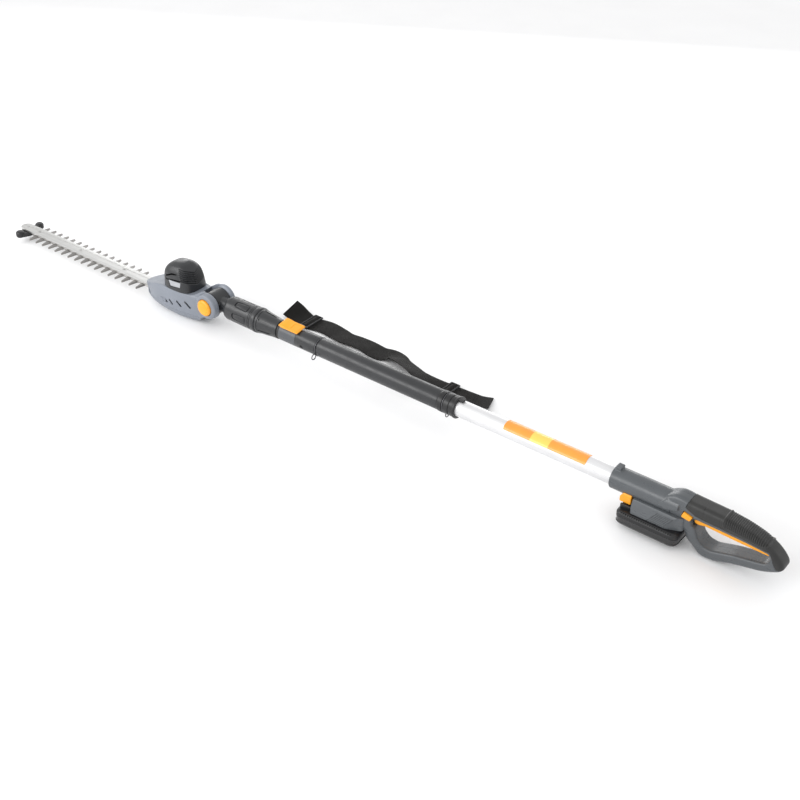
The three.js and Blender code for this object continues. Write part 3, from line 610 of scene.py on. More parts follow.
def blade(top):
    """A toothed blade in the middle of its stroke, its teeth hollow-ground from above."""
    root, reach = 12, 32.5
    first = FIRST_TOOTH_X - PIVOT_X
    gear = GEAR_X - PIVOT_X

    def tooth(x, side):
        half = ((-5.5, root), (-1.3, reach), (1.3, reach), (5.5, root))
        return [(x + along, side * out) for along, out in half]

    outline = [(first - 9, root - 3), (first - 7, root)]
    for i in range(FAR_TEETH):
        outline += tooth(first + i * PITCH, 1)
    eye = [
        (-24, root - 1), (-18, 18), (-14, 22), (14, 22), (18, 18), (18, -18), (14, -22), (-14, -22),
        (-18, -18), (-24, 1 - root),
    ]
    outline += [(gear + x, y) for x, y in eye]
    for i in reversed(range(NEAR_TEETH)):
        outline += reversed(tooth(first + (i + NEAR_PHASE) * PITCH, -1))
    outline += [(first - 7, -root), (first - 9, 3 - root)]
    bottom = top - BLADE_THICK
    levels = [(bottom, 0.15), (bottom + 0.15, 0), (bottom + 0.5, 0), (top, 0.95)]
    plate = prism("z", outline, levels, 0.7)
    holes = [prism("z", rectangle(gear - 12.2, gear + 12.2, -17.2, 17.2, 10), [(-60, 0), (0, 0)])]
    half = STROKE / 2 + 3
    for x in GUIDE_BOLTS:
        holes.append(prism("z", rectangle(x - half, x + half, -3, 3, 2.9), [(-60, 0), (0, 0)]))
    return at_pivot(cut(plate, together(holes)))


def guide_bar():
    low, high = BLADE_TOP + GAP, BLADE_TOP + GAP + 5
    nose = TIP_X - PIVOT_X + 13
    turns = [math.pi / 2 + math.pi * i / 24 for i in range(25)]
    outline = [(nose + 13 * math.cos(a), 13 * math.sin(a)) for a in turns] + [(-160, -13), (-160, 13)]
    body = prism("z", outline, soft(low, high, 0.8))
    groove = prism("z", rectangle(nose + 6, -215, -4.5, 4.5, 4), [(high - 0.8, 0), (high + 2, -0.6)])
    bores = [moved(rod("z", 2.8, low - 1, high + 1, 32), x) for x in GUIDE_BOLTS]
    sinks = [moved(rod("z", 5.4, high - 1.6, high + 1, 32), x) for x in GUIDE_BOLTS]
    return at_pivot(cut(body, groove, together(bores), together(sinks)))


def guide_bolt(x):
    lower_top = BLADE_TOP - BLADE_THICK - GAP
    under = lower_top - BLADE_THICK - GAP
    top = BLADE_TOP + GAP + 5 - 1.4
    shank = rod("z", 2.5, under - 1, top, 32, 0.3)
    head = turned("z", [(under - 3, 0), (under - 3, 4.6), (under - 2.4, 5), (under, 5), (under, 0)], 6)
    socket = rod("z", 1.3, top - 1, top + 1, 6)
    return at_pivot(moved(cut(join(shank, head), socket), x))


def tip_guard():
    x = TIP_X - PIVOT_X + 22
    lobe_profile = [(-38, 0), (-38, 6.5), (-35, 9.5), (-26, 9.5), (-23, 6.5), (-23, 0)]
    web = [
        (x - 13, -12), (x - 6, -27), (x + 8, -27), (x + 15, -12), (x + 15, 12), (x + 8, 27), (x - 6, 27),
        (x - 13, 12),
    ]
    body = prism("z", web, soft(-37.5, BLADE_TOP, 1.2), 3)
    for side in (-27, 27):
        body = join(body, moved(turned("z", lobe_profile, 48, 1.5), x, side))
    return at_pivot(moulded(body, 0.5, 5))


def head_plan(margin):
    wide, nose, half = -95, 112 - margin, HEAD_HALF - margin
    side = []
    for i in range(17):
        angle = math.pi / 2 * i / 16
        side.append((wide - nose * math.cos(angle), half * math.sin(angle)))
    for i in range(1, 11):
        side.append((wide + 7.5 * i, half - 4.5 * (1 - math.cos(math.pi * i / 10))))
    side.append((12, half - 9))
    return side + [(x, -y) for x, y in reversed(side[1:])]


def head_body(margin):
    def rest(x):
        return floor_at(PIVOT_X + x)

    profile = [
        (-212, -20), (-190, -11), (-152, 3), (-134, 8), (-46, 8), (-34, 14), (-22, 23), (-13, 26.5), (0, 26),
        (12, 18), (12, -24), (-10, -31), (-22, -33.5), (-27.5, -42), (-38, -50), (-68, rest(-68)),
        (-112, rest(-112)), (-165, -47), (-212, -36),
    ]
    flare = [(-90, 20), (-58, 17), (-53, 10), (-46, 4), (-37, 0.6), (2, 0), (7, 1.6), (9, 3.4), (60, 3.4)]
    hull = loft([[(x, y, z) for x, y in head_plan(margin + narrower)] for z, narrower in flare])
    return common(hull, prism("y", inset(profile, margin), [(-45, 0), (45, 0)], 10))


FORK_HALF = 27
FORK_GAP_HALF = 17
VENTS = ((-102, -22.5, 7), (-79, -19.5, 8), (-56.5, -16, 9.5))
VENT_LEAN = -46
COVER_SCREWS = ((-160, 0), (-74, -16), (-74, 16))


def side_cut(outline, side, depth, radius):
    """A cutter into one side of the head, from a depth outwards."""
    low, high = sorted((side * depth, side * 60))
    return prism("y", outline, [(low, 0), (high, 0)], radius)


def housing_and_cover():
    fork, inner = FORK_HALF, FORK_GAP_HALF
    boss_profile = [(-35, 0), (-35, 22), (-33.5, 25), (-31, 27), (-fork + 6, 27), (-fork + 6, 0)]
    outer = join(head_body(0), rod("y", 27.5, -fork, fork, 96, 2), turned("y", boss_profile, 96, 1.5))
    hollow = cut(head_body(3), rod("y", 37, -60, 60), box(-36, 60, -60, 60, -90, 60))
    well = join(rod("y", 34, -inner, inner, 96), box(0, 60, -inner, inner, -60, 60))
    near, far = inner - 0.5, fork - 6
    bevels = join(
        turned("y", [(near, 22.8), (near, 50), (far, 50), (far, 27.7), (near, 22.8)], 96),
        turned("y", [(-far, 27.7), (-far, 50), (-near, 50), (-near, 22.8), (-far, 27.7)], 96),
    )
    bevels = common(bevels, box(-12, 60, -40, 40, -12, 60))
    gap = box(-40, 60, -inner, inner, -90, -20)
    mouth = join(
        box(-240, -192, -60, 60, SPLIT_Z - 1, BLADE_TOP + GAP),
        box(-240, -150, -13.4, 13.4, SPLIT_Z - 1, BLADE_TOP + GAP + 5.5),
    )
    bores = [rod("y", 8.3, -60, 60, 48), rod("y", 17.8, -60, -26.4, 72), rod("y", 15, -22, -10, 48)]
    motor_seat = moved(rod("z", 31, 0, 20), MOTOR_X - PIVOT_X)
    shell = cut(outer, hollow, well, gap, bevels, mouth, motor_seat, *bores)
    cuts = []
    for side in (-1, 1):
        for x, z, half in VENTS:
            slot = side_cut(rectangle(-2.3, 2.3, -half, half, 2.2), side, 20, 0)
            cuts.append(moved(spun(slot, VENT_LEAN, "Y"), x, 0, z))
        cuts.append(side_cut([(-137, -22), (-121, -19), (-111, -27), (-127, -31)], side, 31.8, 3))
        cuts.append(side_cut([(-190, -24), (-183.5, -24), (-177, -36), (-184, -36)], side, 13, 1.5))
    shell = moulded(cut(shell, together(cuts)), 0.75, 5)
    cover = common(copy(shell), box(-240, 60, -60, 60, -90, SPLIT_Z - GAP))
    seat = moved(cut(rod("z", 11.5, -54, -37), rod("z", 8.3, -60, 0)), GEAR_X - PIVOT_X)
    screws = [moved(rod("z", 3.4, -80, -51), x, y) for x, y in COVER_SCREWS]
    cover = cut(join(cover, seat), together(screws))
    return at_pivot(cut(shell, box(-240, 60, -60, 60, -90, SPLIT_Z))), at_pivot(cover)


def eased(knots, value):
    """A smooth curve through knots of (place, values...), read at a place."""
    for i in range(len(knots) - 1):
        if value <= knots[i + 1][0] or i == len(knots) - 2:
            break
    start, end = knots[i], knots[i + 1]
    before = knots[i - 1] if i else start
    after = knots[i + 2] if i + 2 < len(knots) else end
    width = end[0] - start[0]
    t = (value - start[0]) / width
    result = []
    for k in range(1, len(start)):
        lead = (end[k] - before[k]) / (end[0] - before[0]) * width
        trail = (after[k] - start[k]) / (after[0] - start[0]) * width
        result.append(
            (2 * t ** 3 - 3 * t ** 2 + 1) * start[k] + (t ** 3 - 2 * t ** 2 + t) * lead
            + (3 * t ** 2 - 2 * t ** 3) * end[k] + (t ** 3 - t ** 2) * trail
        )
    return result


def motor_hood(knots, levels, dents=None, sides=160):
    base = knots[0][0]
    rings = []
    for z in levels:
        scale, shift = eased(knots, z)
        ring = []
        for i in range(sides):
            angle = 2 * math.pi * i / sides
            c, s = math.cos(angle), math.sin(angle)
            reach = scale / (abs(c) ** 3.2 + abs(s) ** 3.2) ** (1 / 3.2)
            x, y = 40 * c, 34 * s
            if dents:
                reach *= 1 - dents(math.degrees(angle), z) / math.hypot(x, y)
            ring.append((x * reach + shift, y * reach, z + (z - base) * 0.0022 * (x * reach + shift)))
        rings.append(ring)
    return loft(rings)


def motor_cover():
    base = 8.3
    knots = [
        (base, 1, 0), (30, 0.95, -1.5), (43, 0.88, -3), (51.5, 0.75, -4), (58, 0.56, -4), (61.5, 0.33, -3),
    ]
    inner = [
        (base - 1, 0.93, 0), (30, 0.88, -1.5), (42, 0.81, -3), (49.5, 0.68, -4), (55, 0.48, -4),
        (58, 0.25, -3),
    ]

    def louvres(angle, z):
        angle = (angle + 180) % 360 - 180
        side = max(0.0, min(1.0, (62 - abs(angle)) / 6))
        height = z + 0.19 * (50 - abs(angle))
        band = max(0.0, min(1.0, (height - 29) / 1.5, (54 - height) / 1.5))
        wave = 0.5 - 0.5 * math.cos(2 * math.pi * (height - 29) / 3.6)
        skirt = 0.9 if z < base + 2 else 0.0
        return 2.6 * side * band * wave + skirt

    step = 0.4
    levels = [base + step * i for i in range(int((61.5 - base) / step) + 1)] + [61.5]
    outside = motor_hood(knots, levels, louvres)
    inside = motor_hood(inner, [base - 1 + 3.4 * i for i in range(15)] + [55.5, 58])
    cover = cut(outside, inside)
    upper = [(-27, 38.5), (-24, 35), (-5, 44), (9, 46), (10, 43.5), (-5, 40.5), (-21, 33)]
    lower = [(-25, 33.5), (-19, 28.8), (2, 33), (19, 34.5), (19, 32), (2, 30), (-21, 25.8)]
    slots = [prism("y", shape, [(-45, 0), (-24.5, 0)], 0.8) for shape in (upper, lower)]
    window = prism("y", [(-14, 28), (22, 30.5), (19, 18), (-10, 14.5)], [(-45, 0), (-31.4, 0)], 1)
    cover = cut(cover, together(slots), window)
    return moved(cover, MOTOR_X - 2)


def motor_plate():
    """The blank rating plate in its recess on the near side of the motor cover."""
    outline = [(-13.2, 27.4), (21.2, 29.9), (18.4, 18.5), (-9.6, 15.1)]
    return moved(prism("y", outline, soft(-32.1, -30.4, 0.3), 0.8), MOTOR_X - 2)


def tilt_button():
    profile = [(15, 0), (15, 4.8), (-31, 4.8), (-31, 17.2), (-37.5, 17.2), (-40, 14.5), (-41, 8), (-41.3, 0)]
    button = turned("y", profile, 96, 0.9)
    ring = collar("y", -43, -40.2, 11.6, 12.6)
    return at_pivot(cut(button, ring))


def pivot_cap():
    cap = turned("y", [(27.3, 0), (27.3, 14), (29.2, 14), (30.5, 11.5), (30.5, 0)], 72, 0.5)
    slot = rod("y", 4.2, 29.4, 32, 6)
    return at_pivot(cut(cap, slot))


# ---------- joint between head and pole ----------
def neck_knuckle():
    body = join(
        rod("y", 24, -16.6, 16.6, 96, 1.5),
        rod("x", 16, 8, 70, 72),
        rod("x", 19.8, 61, 66, 72, 0.6),
        rod("x", 14.7, 69, 113, 72, 0.6),
    )
    pockets = []
    for side in (-1, 1):
        for angle in (100, 145, 190, 235):
            pocket = moved(box(11, 21, -4.5, 4.5, -3, 3, 1.4), 0, side * 16.2)
            pockets.append(spun(pocket, angle, "Y"))
    shaft_end = rod("y", 8.3, -20, 20, 48)
    lock_seat = rod("y", 15, -20, -9.5, 72)
    body = moulded(cut(body, together(pockets)), 0.7, 6)
    return at_pivot(cut(body, shaft_end, lock_seat))


def union_nut():
    profile = [
        (40, 17), (40, 22), (41, 23), (46, 24.6), (115, 25), (117, 25.8), (123, 25.8), (125, 24.5),
        (125, 20.4), (60, 20.4), (60, 17), (40, 17),
    ]
    nut = turned("x", profile, 96, 0.8)
    windows = []
    outline = rounded([(66, -6.5), (102, -8.5), (102, 8.5), (66, 6.5)], 6)
    for i in range(6):
        window = prism("z", outline, [(22.9, 0), (23.8, -0.5), (30, -0.6)])
        island = prism("z", inset(outline, 2.0), [(20, 0), (23.3, 0), (24.1, 0.5), (24.4, 1.0)])
        windows.append(spun(cut(window, island), 60 * i + 26, "X"))
    grooves = [collar("x", x, x + 1.1, 24.2, 27) for x in (108, 112)]
    return at_pivot(cut(nut, together(windows), together(grooves)))


def pole_socket():
    profile = [
        (75, 15.1), (75, 20), (125.4, 20), (125.4, 23.6), (126, 24.2), (130, 24.2), (136, 23), (171, 19.4),
        (179, 19.4), (179, 14.3), (115, 14.3), (115, 15.1), (75, 15.1),
    ]
    socket = turned("x", profile, 96, 0.8)
    flutes = []
    for i in range(6):
        flute = prism("z", rectangle(134, 164, -2.2, 2.2, 2.1), [(0, 0), (9, 0)])
        moved(flute, 0, 0, 18.0)
        flutes.append(spun(flute, 60 * i + 50, "X"))
    depth = turned("x", [(128, 14.5), (128, 22.4), (171, 17.9), (171, 14.5), (128, 14.5)], 96)
    flutes = cut(together(flutes), depth)
    ridge = collar("x", 131.2, 132.4, 22.9, 26)
    return at_pivot(cut(socket, flutes, ridge))


# ---------- telescopic pole and clamp ----------
CLAMP_X = -815
CLAMP_SPLIT_X = -771
CLAMP_END_X = -716
CLAMP_SCREW_X = -754
CLAMP_SCREW_TURN = 15
LEVER_PIN_X = -811
LEVER_PIN_Z = 21.6
FRONT_RING_X = -719
FRONT_RING_TURN = -60
COLLAR_X = -431
COLLAR_END_X = -392
REAR_RING_X = -418.5
TUBE_FRONT_X = -804.4
TUBE_REAR_X = -45
SOCKET_BORE = POLE_R + GAP
LEVER_LEAN = 10


def pipe(outer, inner, start, end, edge=0.3):
    return collar("x", start, end, inner, outer, edge)


def inner_tube():
    tube = pipe(INNER_R, INNER_R - 1.4, -880, -250)
    holes = [moved(rod("z", 2.2, 5, 20, 24), x) for x in (-300, -275)]
    return cut(tube, together(holes))


def lever_pin_bore():
    return moved(rod("y", 1.8, -30, 30, 32), LEVER_PIN_X, 0, LEVER_PIN_Z)


def at_clamp_screw(obj):
    return moved(spun(obj, CLAMP_SCREW_TURN, "X"), CLAMP_SCREW_X)


def clamp_ring():
    profile = [
        (CLAMP_X, INNER_R + GAP), (CLAMP_X, 18), (CLAMP_X + 1.5, SLEEVE_R), (CLAMP_SPLIT_X - GAP, SLEEVE_R),
        (CLAMP_SPLIT_X - GAP, SOCKET_BORE), (TUBE_FRONT_X - GAP, SOCKET_BORE),
        (TUBE_FRONT_X - GAP, INNER_R + GAP), (CLAMP_X, INNER_R + GAP),
    ]
    ring = turned("x", profile, 96, 0.5)
    x, z = LEVER_PIN_X, LEVER_PIN_Z
    lug = join(moved(rod("y", 2.3, -5, 5, 48, 0.4), x, 0, z), box(x - 1.8, x + 1.8, -5, 5, 15, z))
    spun(lug, LEVER_LEAN, "X")
    split = box(CLAMP_X - 4, CLAMP_X + 22, -0.6, 0.6, -30, -10)
    bore = spun(lever_pin_bore(), LEVER_LEAN, "X")
    return cut(join(ring, lug), split, bore)


def clamp_body():
    ring_x = FRONT_RING_X
    profile = [
        (CLAMP_SPLIT_X, SOCKET_BORE), (CLAMP_SPLIT_X, SLEEVE_R), (ring_x - 2, SLEEVE_R), (ring_x - 2, 17.6),
        (ring_x + 2, 17.6), (ring_x + 2, SLEEVE_R), (CLAMP_END_X, SLEEVE_R), (CLAMP_END_X, SOCKET_BORE),
        (CLAMP_SPLIT_X, SOCKET_BORE),
    ]
    sink = at_clamp_screw(rod("y", 3.9, -30, -17.2, 48))
    bore = at_clamp_screw(rod("y", 3.3, -30, -15, 48))
    return cut(turned("x", profile, 96, 0.3), sink, bore)


def clamp_screw():
    screw = rod("y", 3, -18.2, -16.4, 48, 0.4)
    cross = join(box(-1.9, 1.9, -20, -17.5, -0.45, 0.45), box(-0.45, 0.45, -20, -17.5, -1.9, 1.9))
    return at_clamp_screw(cut(screw, cross))


def clamp_lever():
    x = LEVER_PIN_X
    outline = [
        (x - 2.3, 19.6), (x + 42, 19.2), (x + 45, 19.6), (x + 46, 21.2), (x + 42, 23.2), (x + 20, 23.2),
        (x + 8, 25), (x - 1, 25.2), (x - 3.2, 22.8),
    ]
    lever = prism("y", outline, soft(-12.5, 12.5, 0.9), 1.6)
    slot = box(x - 9, x + 6.4, -5.5, 5.5, 10, 24.2)
    pad = prism("z", rectangle(x + 24, x + 40, -9, 9, 3), [(22.7, 0), (30, 0)])
    return spun(cut(lever, slot, pad, lever_pin_bore()), LEVER_LEAN, "X")


def torus(radius, wire, x, z, turns=96):
    rings = []
    for i in range(turns):
        a = 2 * math.pi * i / turns
        ring = []
        for k in range(16):
            b = 2 * math.pi * k / 16
            reach = radius + wire * math.cos(b)
            ring.append((x + wire * math.sin(b), reach * math.sin(a), z + reach * math.cos(a)))
        rings.append(ring)
    points = [point for ring in rings for point in ring]
    faces = []
    for i in range(turns):
        for k in range(16):
            a, b = i * 16, (i + 1) % turns * 16
            faces.append((a + k, b + k, b + (k + 1) % 16, a + (k + 1) % 16))
    return solid(points, faces)


def strap_ring(radius, x, turn=0):
    return spun(join(torus(radius - 0.5, 0.8, x, 0), torus(5.4, 1.0, x, -radius - 5.4, 48)), turn, "X")


def rear_collar():
    ring_x, end = REAR_RING_X, COLLAR_END_X
    profile = [
        (COLLAR_X, SOCKET_BORE), (COLLAR_X, 19.2), (COLLAR_X + 2, 19.8), (ring_x - 2, 19.8),
        (ring_x - 2, 17.8), (ring_x + 2, 17.8), (ring_x + 2, 19.8), (end - 14, 19.8), (end - 14, 18.6),
        (end - 12, 18.6), (end - 12, 19.8), (end - 5, 19.8), (end - 4, 20.8), (end - 1, 20.8), (end, 20),
        (end, SOCKET_BORE), (COLLAR_X, SOCKET_BORE),
    ]
    return join(turned("x", profile, 96, 0.35), box(end - 3, end + 10, -5, 5, 16.6, 20, 0.8))


LABEL_FRONT_X = -291
LABEL_REAR_X = -128


def tube_label():
    outer, inner = SOCKET_BORE + 0.35, SOCKET_BORE
    turns = [math.radians(52 + 100 * i / 32) for i in range(33)]
    section = [(outer * math.cos(a), outer * math.sin(a)) for a in turns]
    section += [(inner * math.cos(a), inner * math.sin(a)) for a in reversed(turns)]
    sheet = prism("x", section, [(LABEL_FRONT_X, 0), (LABEL_REAR_X, 0)])
    corner = prism("z", rectangle(LABEL_FRONT_X, LABEL_REAR_X, -14.5, 10.1, 2), [(0, 0), (30, 0)])
    return common(sheet, corner)


# ---------- rear handle ----------
SLEEVE_FRONT_X = -80
HANDLE_HALF = 17
EDGE = 9
PARTING_Y = 2
TRIGGER_PIVOT = (189, -4)
HANDLE_OUTLINE = [
    (14, 14), (26, 22), (36, 26.5), (46, 27), (60, 24.5), (118, 22.5), (150, 18.5), (178, 11.5), (200, 0),
    (214, -12), (222, -24), (219, -32), (208, -39), (190, -47), (142, -58), (110, floor_at(110)),
    (86, floor_at(86)), (76, -58), (60, -46), (57.5, -35), (50, -31), (30, -17), (14, -12),
]
HAND_HOLE = [
    (71, -3), (110, -3.5), (160, -5), (196, -8), (201, -16), (194, -27), (178, -31), (142, -38), (106, -49),
    (92, -47), (82, -38), (77, -25), (74, -19.5), (68, -17.5), (66.5, -9),
]
COVER_ZONE = [
    (62, 40), (55, 13), (72, 5), (84, 3.5), (150, 1), (197, -3.5), (204, -18), (212, -30), (234, -24),
    (234, 40),
]
RIB_PANEL = [(121, 40), (119, 14), (121.5, 8.6), (127, 6.8), (184, 1.0), (190, 2.6), (194, 10), (202, 40)]


def through(outline, radius=0.0, half=50):
    """A prism right across the handle, for cutting it."""
    return prism("y", outline, [(-half, 0), (half, 0)], radius)


def handle_body(grow=0.0):
    half = HANDLE_HALF + grow
    body = prism("y", inset(HANDLE_OUTLINE, -grow), soft(-half, half, EDGE, 6), 9)
    return cut(body, prism("y", HAND_HOLE, flared(half, 4.5, 12, 5), 5))


TRIGGER_SLOT = [(66, -19), (66, 5.5), (150, 5), (184, 3.6), (194, 0.4), (200, -6), (200, -19)]
LOCK_SLOT = [(49.5, -6), (66, -9), (70, 1), (53, 6)]


def handle_slots():
    return through(TRIGGER_SLOT, 0, 9.6), through(LOCK_SLOT)


def grip_overmould():
    cover = common(handle_body(0.35), through(COVER_ZONE, 3))
    rim = cut(through(inset(RIB_PANEL, -1.7), 4), through(RIB_PANEL, 3))
    cover = join(cover, common(rim, handle_body(1.3)))
    starts = [125 + 3.2 * i for i in range(24)]
    ribs = [through([(x, -6), (x + 1.7, -6), (x - 3.3, 34), (x - 5, 34)]) for x in starts]
    ribs = common(together(ribs), through(inset(RIB_PANEL, 1.2), 2))
    panel_edge = cut(through(inset(RIB_PANEL, -7), 6), through(inset(RIB_PANEL, -6), 5))
    crease = through([(87, -4), (88, -4), (84, 34), (83, 34)])
    grooves = cut(together([ribs, panel_edge, crease]), handle_body(-0.65))
    return moulded(cut(cover, grooves, *handle_slots()), 0.55, 3)


def handle_shells():
    sleeve = rod("x", HANDLE_R, SLEEVE_FRONT_X, 30, 96, 1)
    body = join(handle_body(), sleeve, box(-77, -66, -7, 7, 15, 26, 1.5))
    fairing = turned("x", [(-40, 0), (-40, 21.4), (44, 22.2), (44, 0)], 96)
    leaf = [(30, 34), (27, 20), (21, 12), (9, 0), (22, -2), (36, 0.5), (50, 5), (60, 8), (60, 34)]
    body = join(body, common(fairing, through(leaf, 4)))
    zone = through(inset(COVER_ZONE, -0.25), 3)
    socket = rod("x", SOCKET_BORE, SLEEVE_FRONT_X - 5, TUBE_REAR_X + GAP, 96)
    crease = cut(through([(90, -44), (91, -44), (86, -72), (85, -72)]), handle_body(-0.5))
    body = cut(body, zone, socket, rod("x", 12, -60, -30), crease, *handle_slots())
    body = moulded(body, 0.7, 5)
    left = cut(copy(body), box(-200, 300, PARTING_Y - GAP / 2, 60, -90, 60))
    right = cut(body, box(-200, 300, -60, PARTING_Y + GAP / 2, -90, 60))
    return left, right


def lock_off_button():
    outline = [(50.2, -5.4), (65.6, -8.2), (69.2, 0.6), (53.6, 5.2)]
    return prism("y", outline, soft(-19.5, 19.5, 1.3), 2.4)


def trigger():
    outline = [
        (73, -3), (70.5, -7), (69, -10.5), (70.5, -14.5), (77, -15.5), (88, -13), (136, -15), (186, -16),
        (195, -16), (197, -10.5), (193, -1), (188, 0.5), (182, -1.5), (150, -2), (80, -1),
    ]
    bore = moved(rod("y", 1.8, -20, 20, 32), TRIGGER_PIVOT[0], 0, TRIGGER_PIVOT[1])
    return cut(prism("y", outline, soft(-9, 9, 1.6), 3), bore)


# ---------- battery and its dock ----------
PACK_HALF = 37
PACK_FRONT_X = -55
PACK_REAR_X = 56
PACK_BOTTOM = -60
PACK_SPLIT = -44
PACK_TOP = -34
RELEASE_HALF = 21


def battery_dock():
    section = [(-31, PACK_TOP + 0.5), (31, PACK_TOP + 0.5), (31, -28), (23, -9), (-23, -9), (-31, -28)]
    block = prism("x", section, soft(-32, 57, 1.5), 1.5)
    taper = [(-34, -26), (-27, -33), (24, -33), (58, -18), (58, 18), (24, 33), (-27, 33), (-34, 26)]
    block = common(block, prism("z", taper, [(-40, 0), (0, 0)], 8))
    stripes = [prism("y", [(x, -33), (x + 1.7, -33), (x + 17, -14), (x + 15.3, -14)], [(-40, 0), (40, 0)])
               for x in (-2 + 3.8 * i for i in range(11))]
    stripes = cut(together(stripes), prism("x", inset(section, 1.3), [(-60, 0), (90, 0)]))
    handle = prism("y", inset(HANDLE_OUTLINE, -0.4), soft(-17.4, 17.4, EDGE), 9)
    return cut(block, stripes, rod("x", HANDLE_R + GAP, -95, 60), handle, box(-28, 26, -24, 24, -40, -24))


def pack_outline(margin=0.0):
    return rectangle(PACK_FRONT_X + margin, PACK_REAR_X - margin, margin - PACK_HALF, PACK_HALF - margin)


def battery_lower_case():
    rise = [
        (PACK_BOTTOM, 5), (-59.5, 3.6), (-58.4, 1.9), (-56.8, 0.7), (-55, 0.1), (-54.5, 0), (-54, 0.7),
        (-47, 0.7), (-46.5, 0), (PACK_SPLIT - 0.3, 0), (PACK_SPLIT, 0.3),
    ]
    case = prism("z", pack_outline(), rise, 13)
    well = prism("z", pack_outline(2.6), [(PACK_BOTTOM + 2.2, 0), (0, 0)], 9)
    pads = [
        box(x - 7, x + 7, y - 4, y + 4, PACK_BOTTOM - 1, PACK_BOTTOM + 0.5, 1)
        for x in (-34, 36) for y in (-22, 22)
    ]
    return cut(case, well, together(pads))


def battery_upper_case():
    low = PACK_SPLIT + GAP
    rise = [
        (low, 0.3), (low + 0.3, 0), (PACK_TOP - 4.6, 0), (PACK_TOP - 3.2, 0.6), (PACK_TOP - 1.6, 1.7),
        (PACK_TOP - 0.6, 3.2), (PACK_TOP, 4.6),
    ]
    lid = prism("z", pack_outline(), rise, 13)
    well = prism("z", pack_outline(2.6), [(-60, 0), (-38.9, 0)], 9)
    front, rear, wall = PACK_FRONT_X + 3, -33.5, RELEASE_HALF + 0.5
    shoulder = join(
        box(front + 0.3, rear - 0.3, -24.7, 24.7, PACK_TOP - 1, -29.6, 1),
        box(front, rear, wall, 25, PACK_TOP - 1, -26.3, 1.2),
        box(front, rear, -25, -wall, PACK_TOP - 1, -26.3, 1.2),
        box(rear - 2, rear - 0.1, -24.4, 24.4, PACK_TOP - 1, -26.5, 0.8),
    )
    grips = [
        box(x, x + 1.6, y - 3, y + 3, PACK_TOP - 3, PACK_TOP + 3)
        for x in range(-44, 48, 4) for y in (-PACK_HALF, PACK_HALF)
    ]
    return cut(join(lid, shoulder), well, together(grips))


def battery_release():
    half = RELEASE_HALF
    front = [(-half, -26), (half, -26), (half, -10), (18, -7), (-18, -7), (-half, -10)]
    saddle = prism("x", front, soft(-56.5, -36, 1.2), 2)
    slope = prism("y", [(-60, -22), (-60, -4), (-48, -4)], [(-40, 0), (40, 0)])
    grips = [box(-60, -55.2, -13, 13, z, z + 1.1) for z in (-25, -22.8)]
    return cut(saddle, rod("x", HANDLE_R + 0.5, -95, 0, 96), slope, together(grips))


# ---------- shoulder strap ----------
STRAP_WIDTH = 46
STRAP_THICK = 1.7
# Sliders on the strap: place along the tool, place across it, height over the strap.
SLIDERS = [(-859, 125, 2.2), (-493, 104, 0.9)]
# Centre line: place along the tool, place across it, height off the floor, bank in degrees.
STRAP_ROUTE = [
    (-920, 127.5, 14.5, 17), (-905, 127, 10, 15), (-888, 126, 4, 7), (-872, 125, 1, 0), (-856, 125, 0.3, 0),
    (-824, 131, 1, 0), (-790, 128, 1, -2), (-767, 124, 2, -5), (-740, 127, 2, -5), (-712, 128, 1.5, -4),
    (-678, 124, 1, 0), (-656, 131, 1.5, -4), (-637, 128.5, 5, -12.6), (-620, 121, 9, -23),
    (-588, 112, 9.5, -25), (-567, 105.5, 9, -22), (-540, 103, 4, -10), (-511, 103, 0.3, 0),
    (-478, 105, 0.3, 0), (-446, 107, 0.5, 0), (-425, 110, 1.5, -3), (-404, 118, 4, -8),
]


def spline(knots, steps):
    """Points along a Catmull-Rom curve through the knots."""
    result = []
    for i in range(len(knots) - 1):
        before = Vector(knots[max(i - 1, 0)])
        start, end = Vector(knots[i]), Vector(knots[i + 1])
        after = Vector(knots[min(i + 2, len(knots) - 1)])
        for k in range(steps):
            t = k / steps
            result.append(0.5 * (
                2 * start + (end - before) * t + (2 * before - 5 * start + 4 * end - after) * t ** 2
                + (3 * start - before - 3 * end + after) * t ** 3
            ))
    result.append(Vector(knots[-1]))
    return result


def webbing(route, width, thick, steps=10):
    """A band of webbing laid along a route, with its length and width as UVs, and its length."""
    columns = 14
    points, uvs = [], []
    travelled = 0.0
    line = spline(route, steps)
    for i, station in enumerate(line):
        place = Vector(station[:3])
        along = Vector(line[min(i + 1, len(line) - 1)][:3]) - Vector(line[max(i - 1, 0)][:3])
        travelled += (place - Vector(line[max(i - 1, 0)][:3])).length
        flat = Vector((-along.y, along.x, 0)).normalized()
        bank = math.radians(station[3])
        across = flat * math.cos(bank) + Vector((0, 0, math.sin(bank)))
        normal = along.normalized().cross(across)
        base = Vector((place.x, place.y, floor_at(place.x) + place.z + 0.4))
        for side, columns_order in ((1, range(columns + 1)), (0, range(columns, -1, -1))):
            for k in columns_order:
                v = k / columns * 2 - 1
                edge = 0.5 * thick * (1 - max(0, abs(v) - 0.93) / 0.07 * 0.6)
                selvage = 0.18 if 0.86 < abs(v) < 0.97 else 0.0
                lift = thick / 2 + (edge + selvage if side else -edge)
                points.append(base + across * (v * width / 2) + normal * lift)
                uvs.append((travelled / 1000, v * width / 2000))
    ring = 2 * (columns + 1)
    faces = []
    for i in range(len(line) - 1):
        for k in range(ring):
            a, b = i * ring + k, i * ring + (k + 1) % ring
            faces.append((a, b, b + ring, a + ring))
    last = (len(line) - 1) * ring
    for k in range(columns):
        for start in (0, last):
            faces.append((start + k, start + k + 1, start + ring - 2 - k, start + ring - 1 - k))
    return points, faces, uvs, travelled


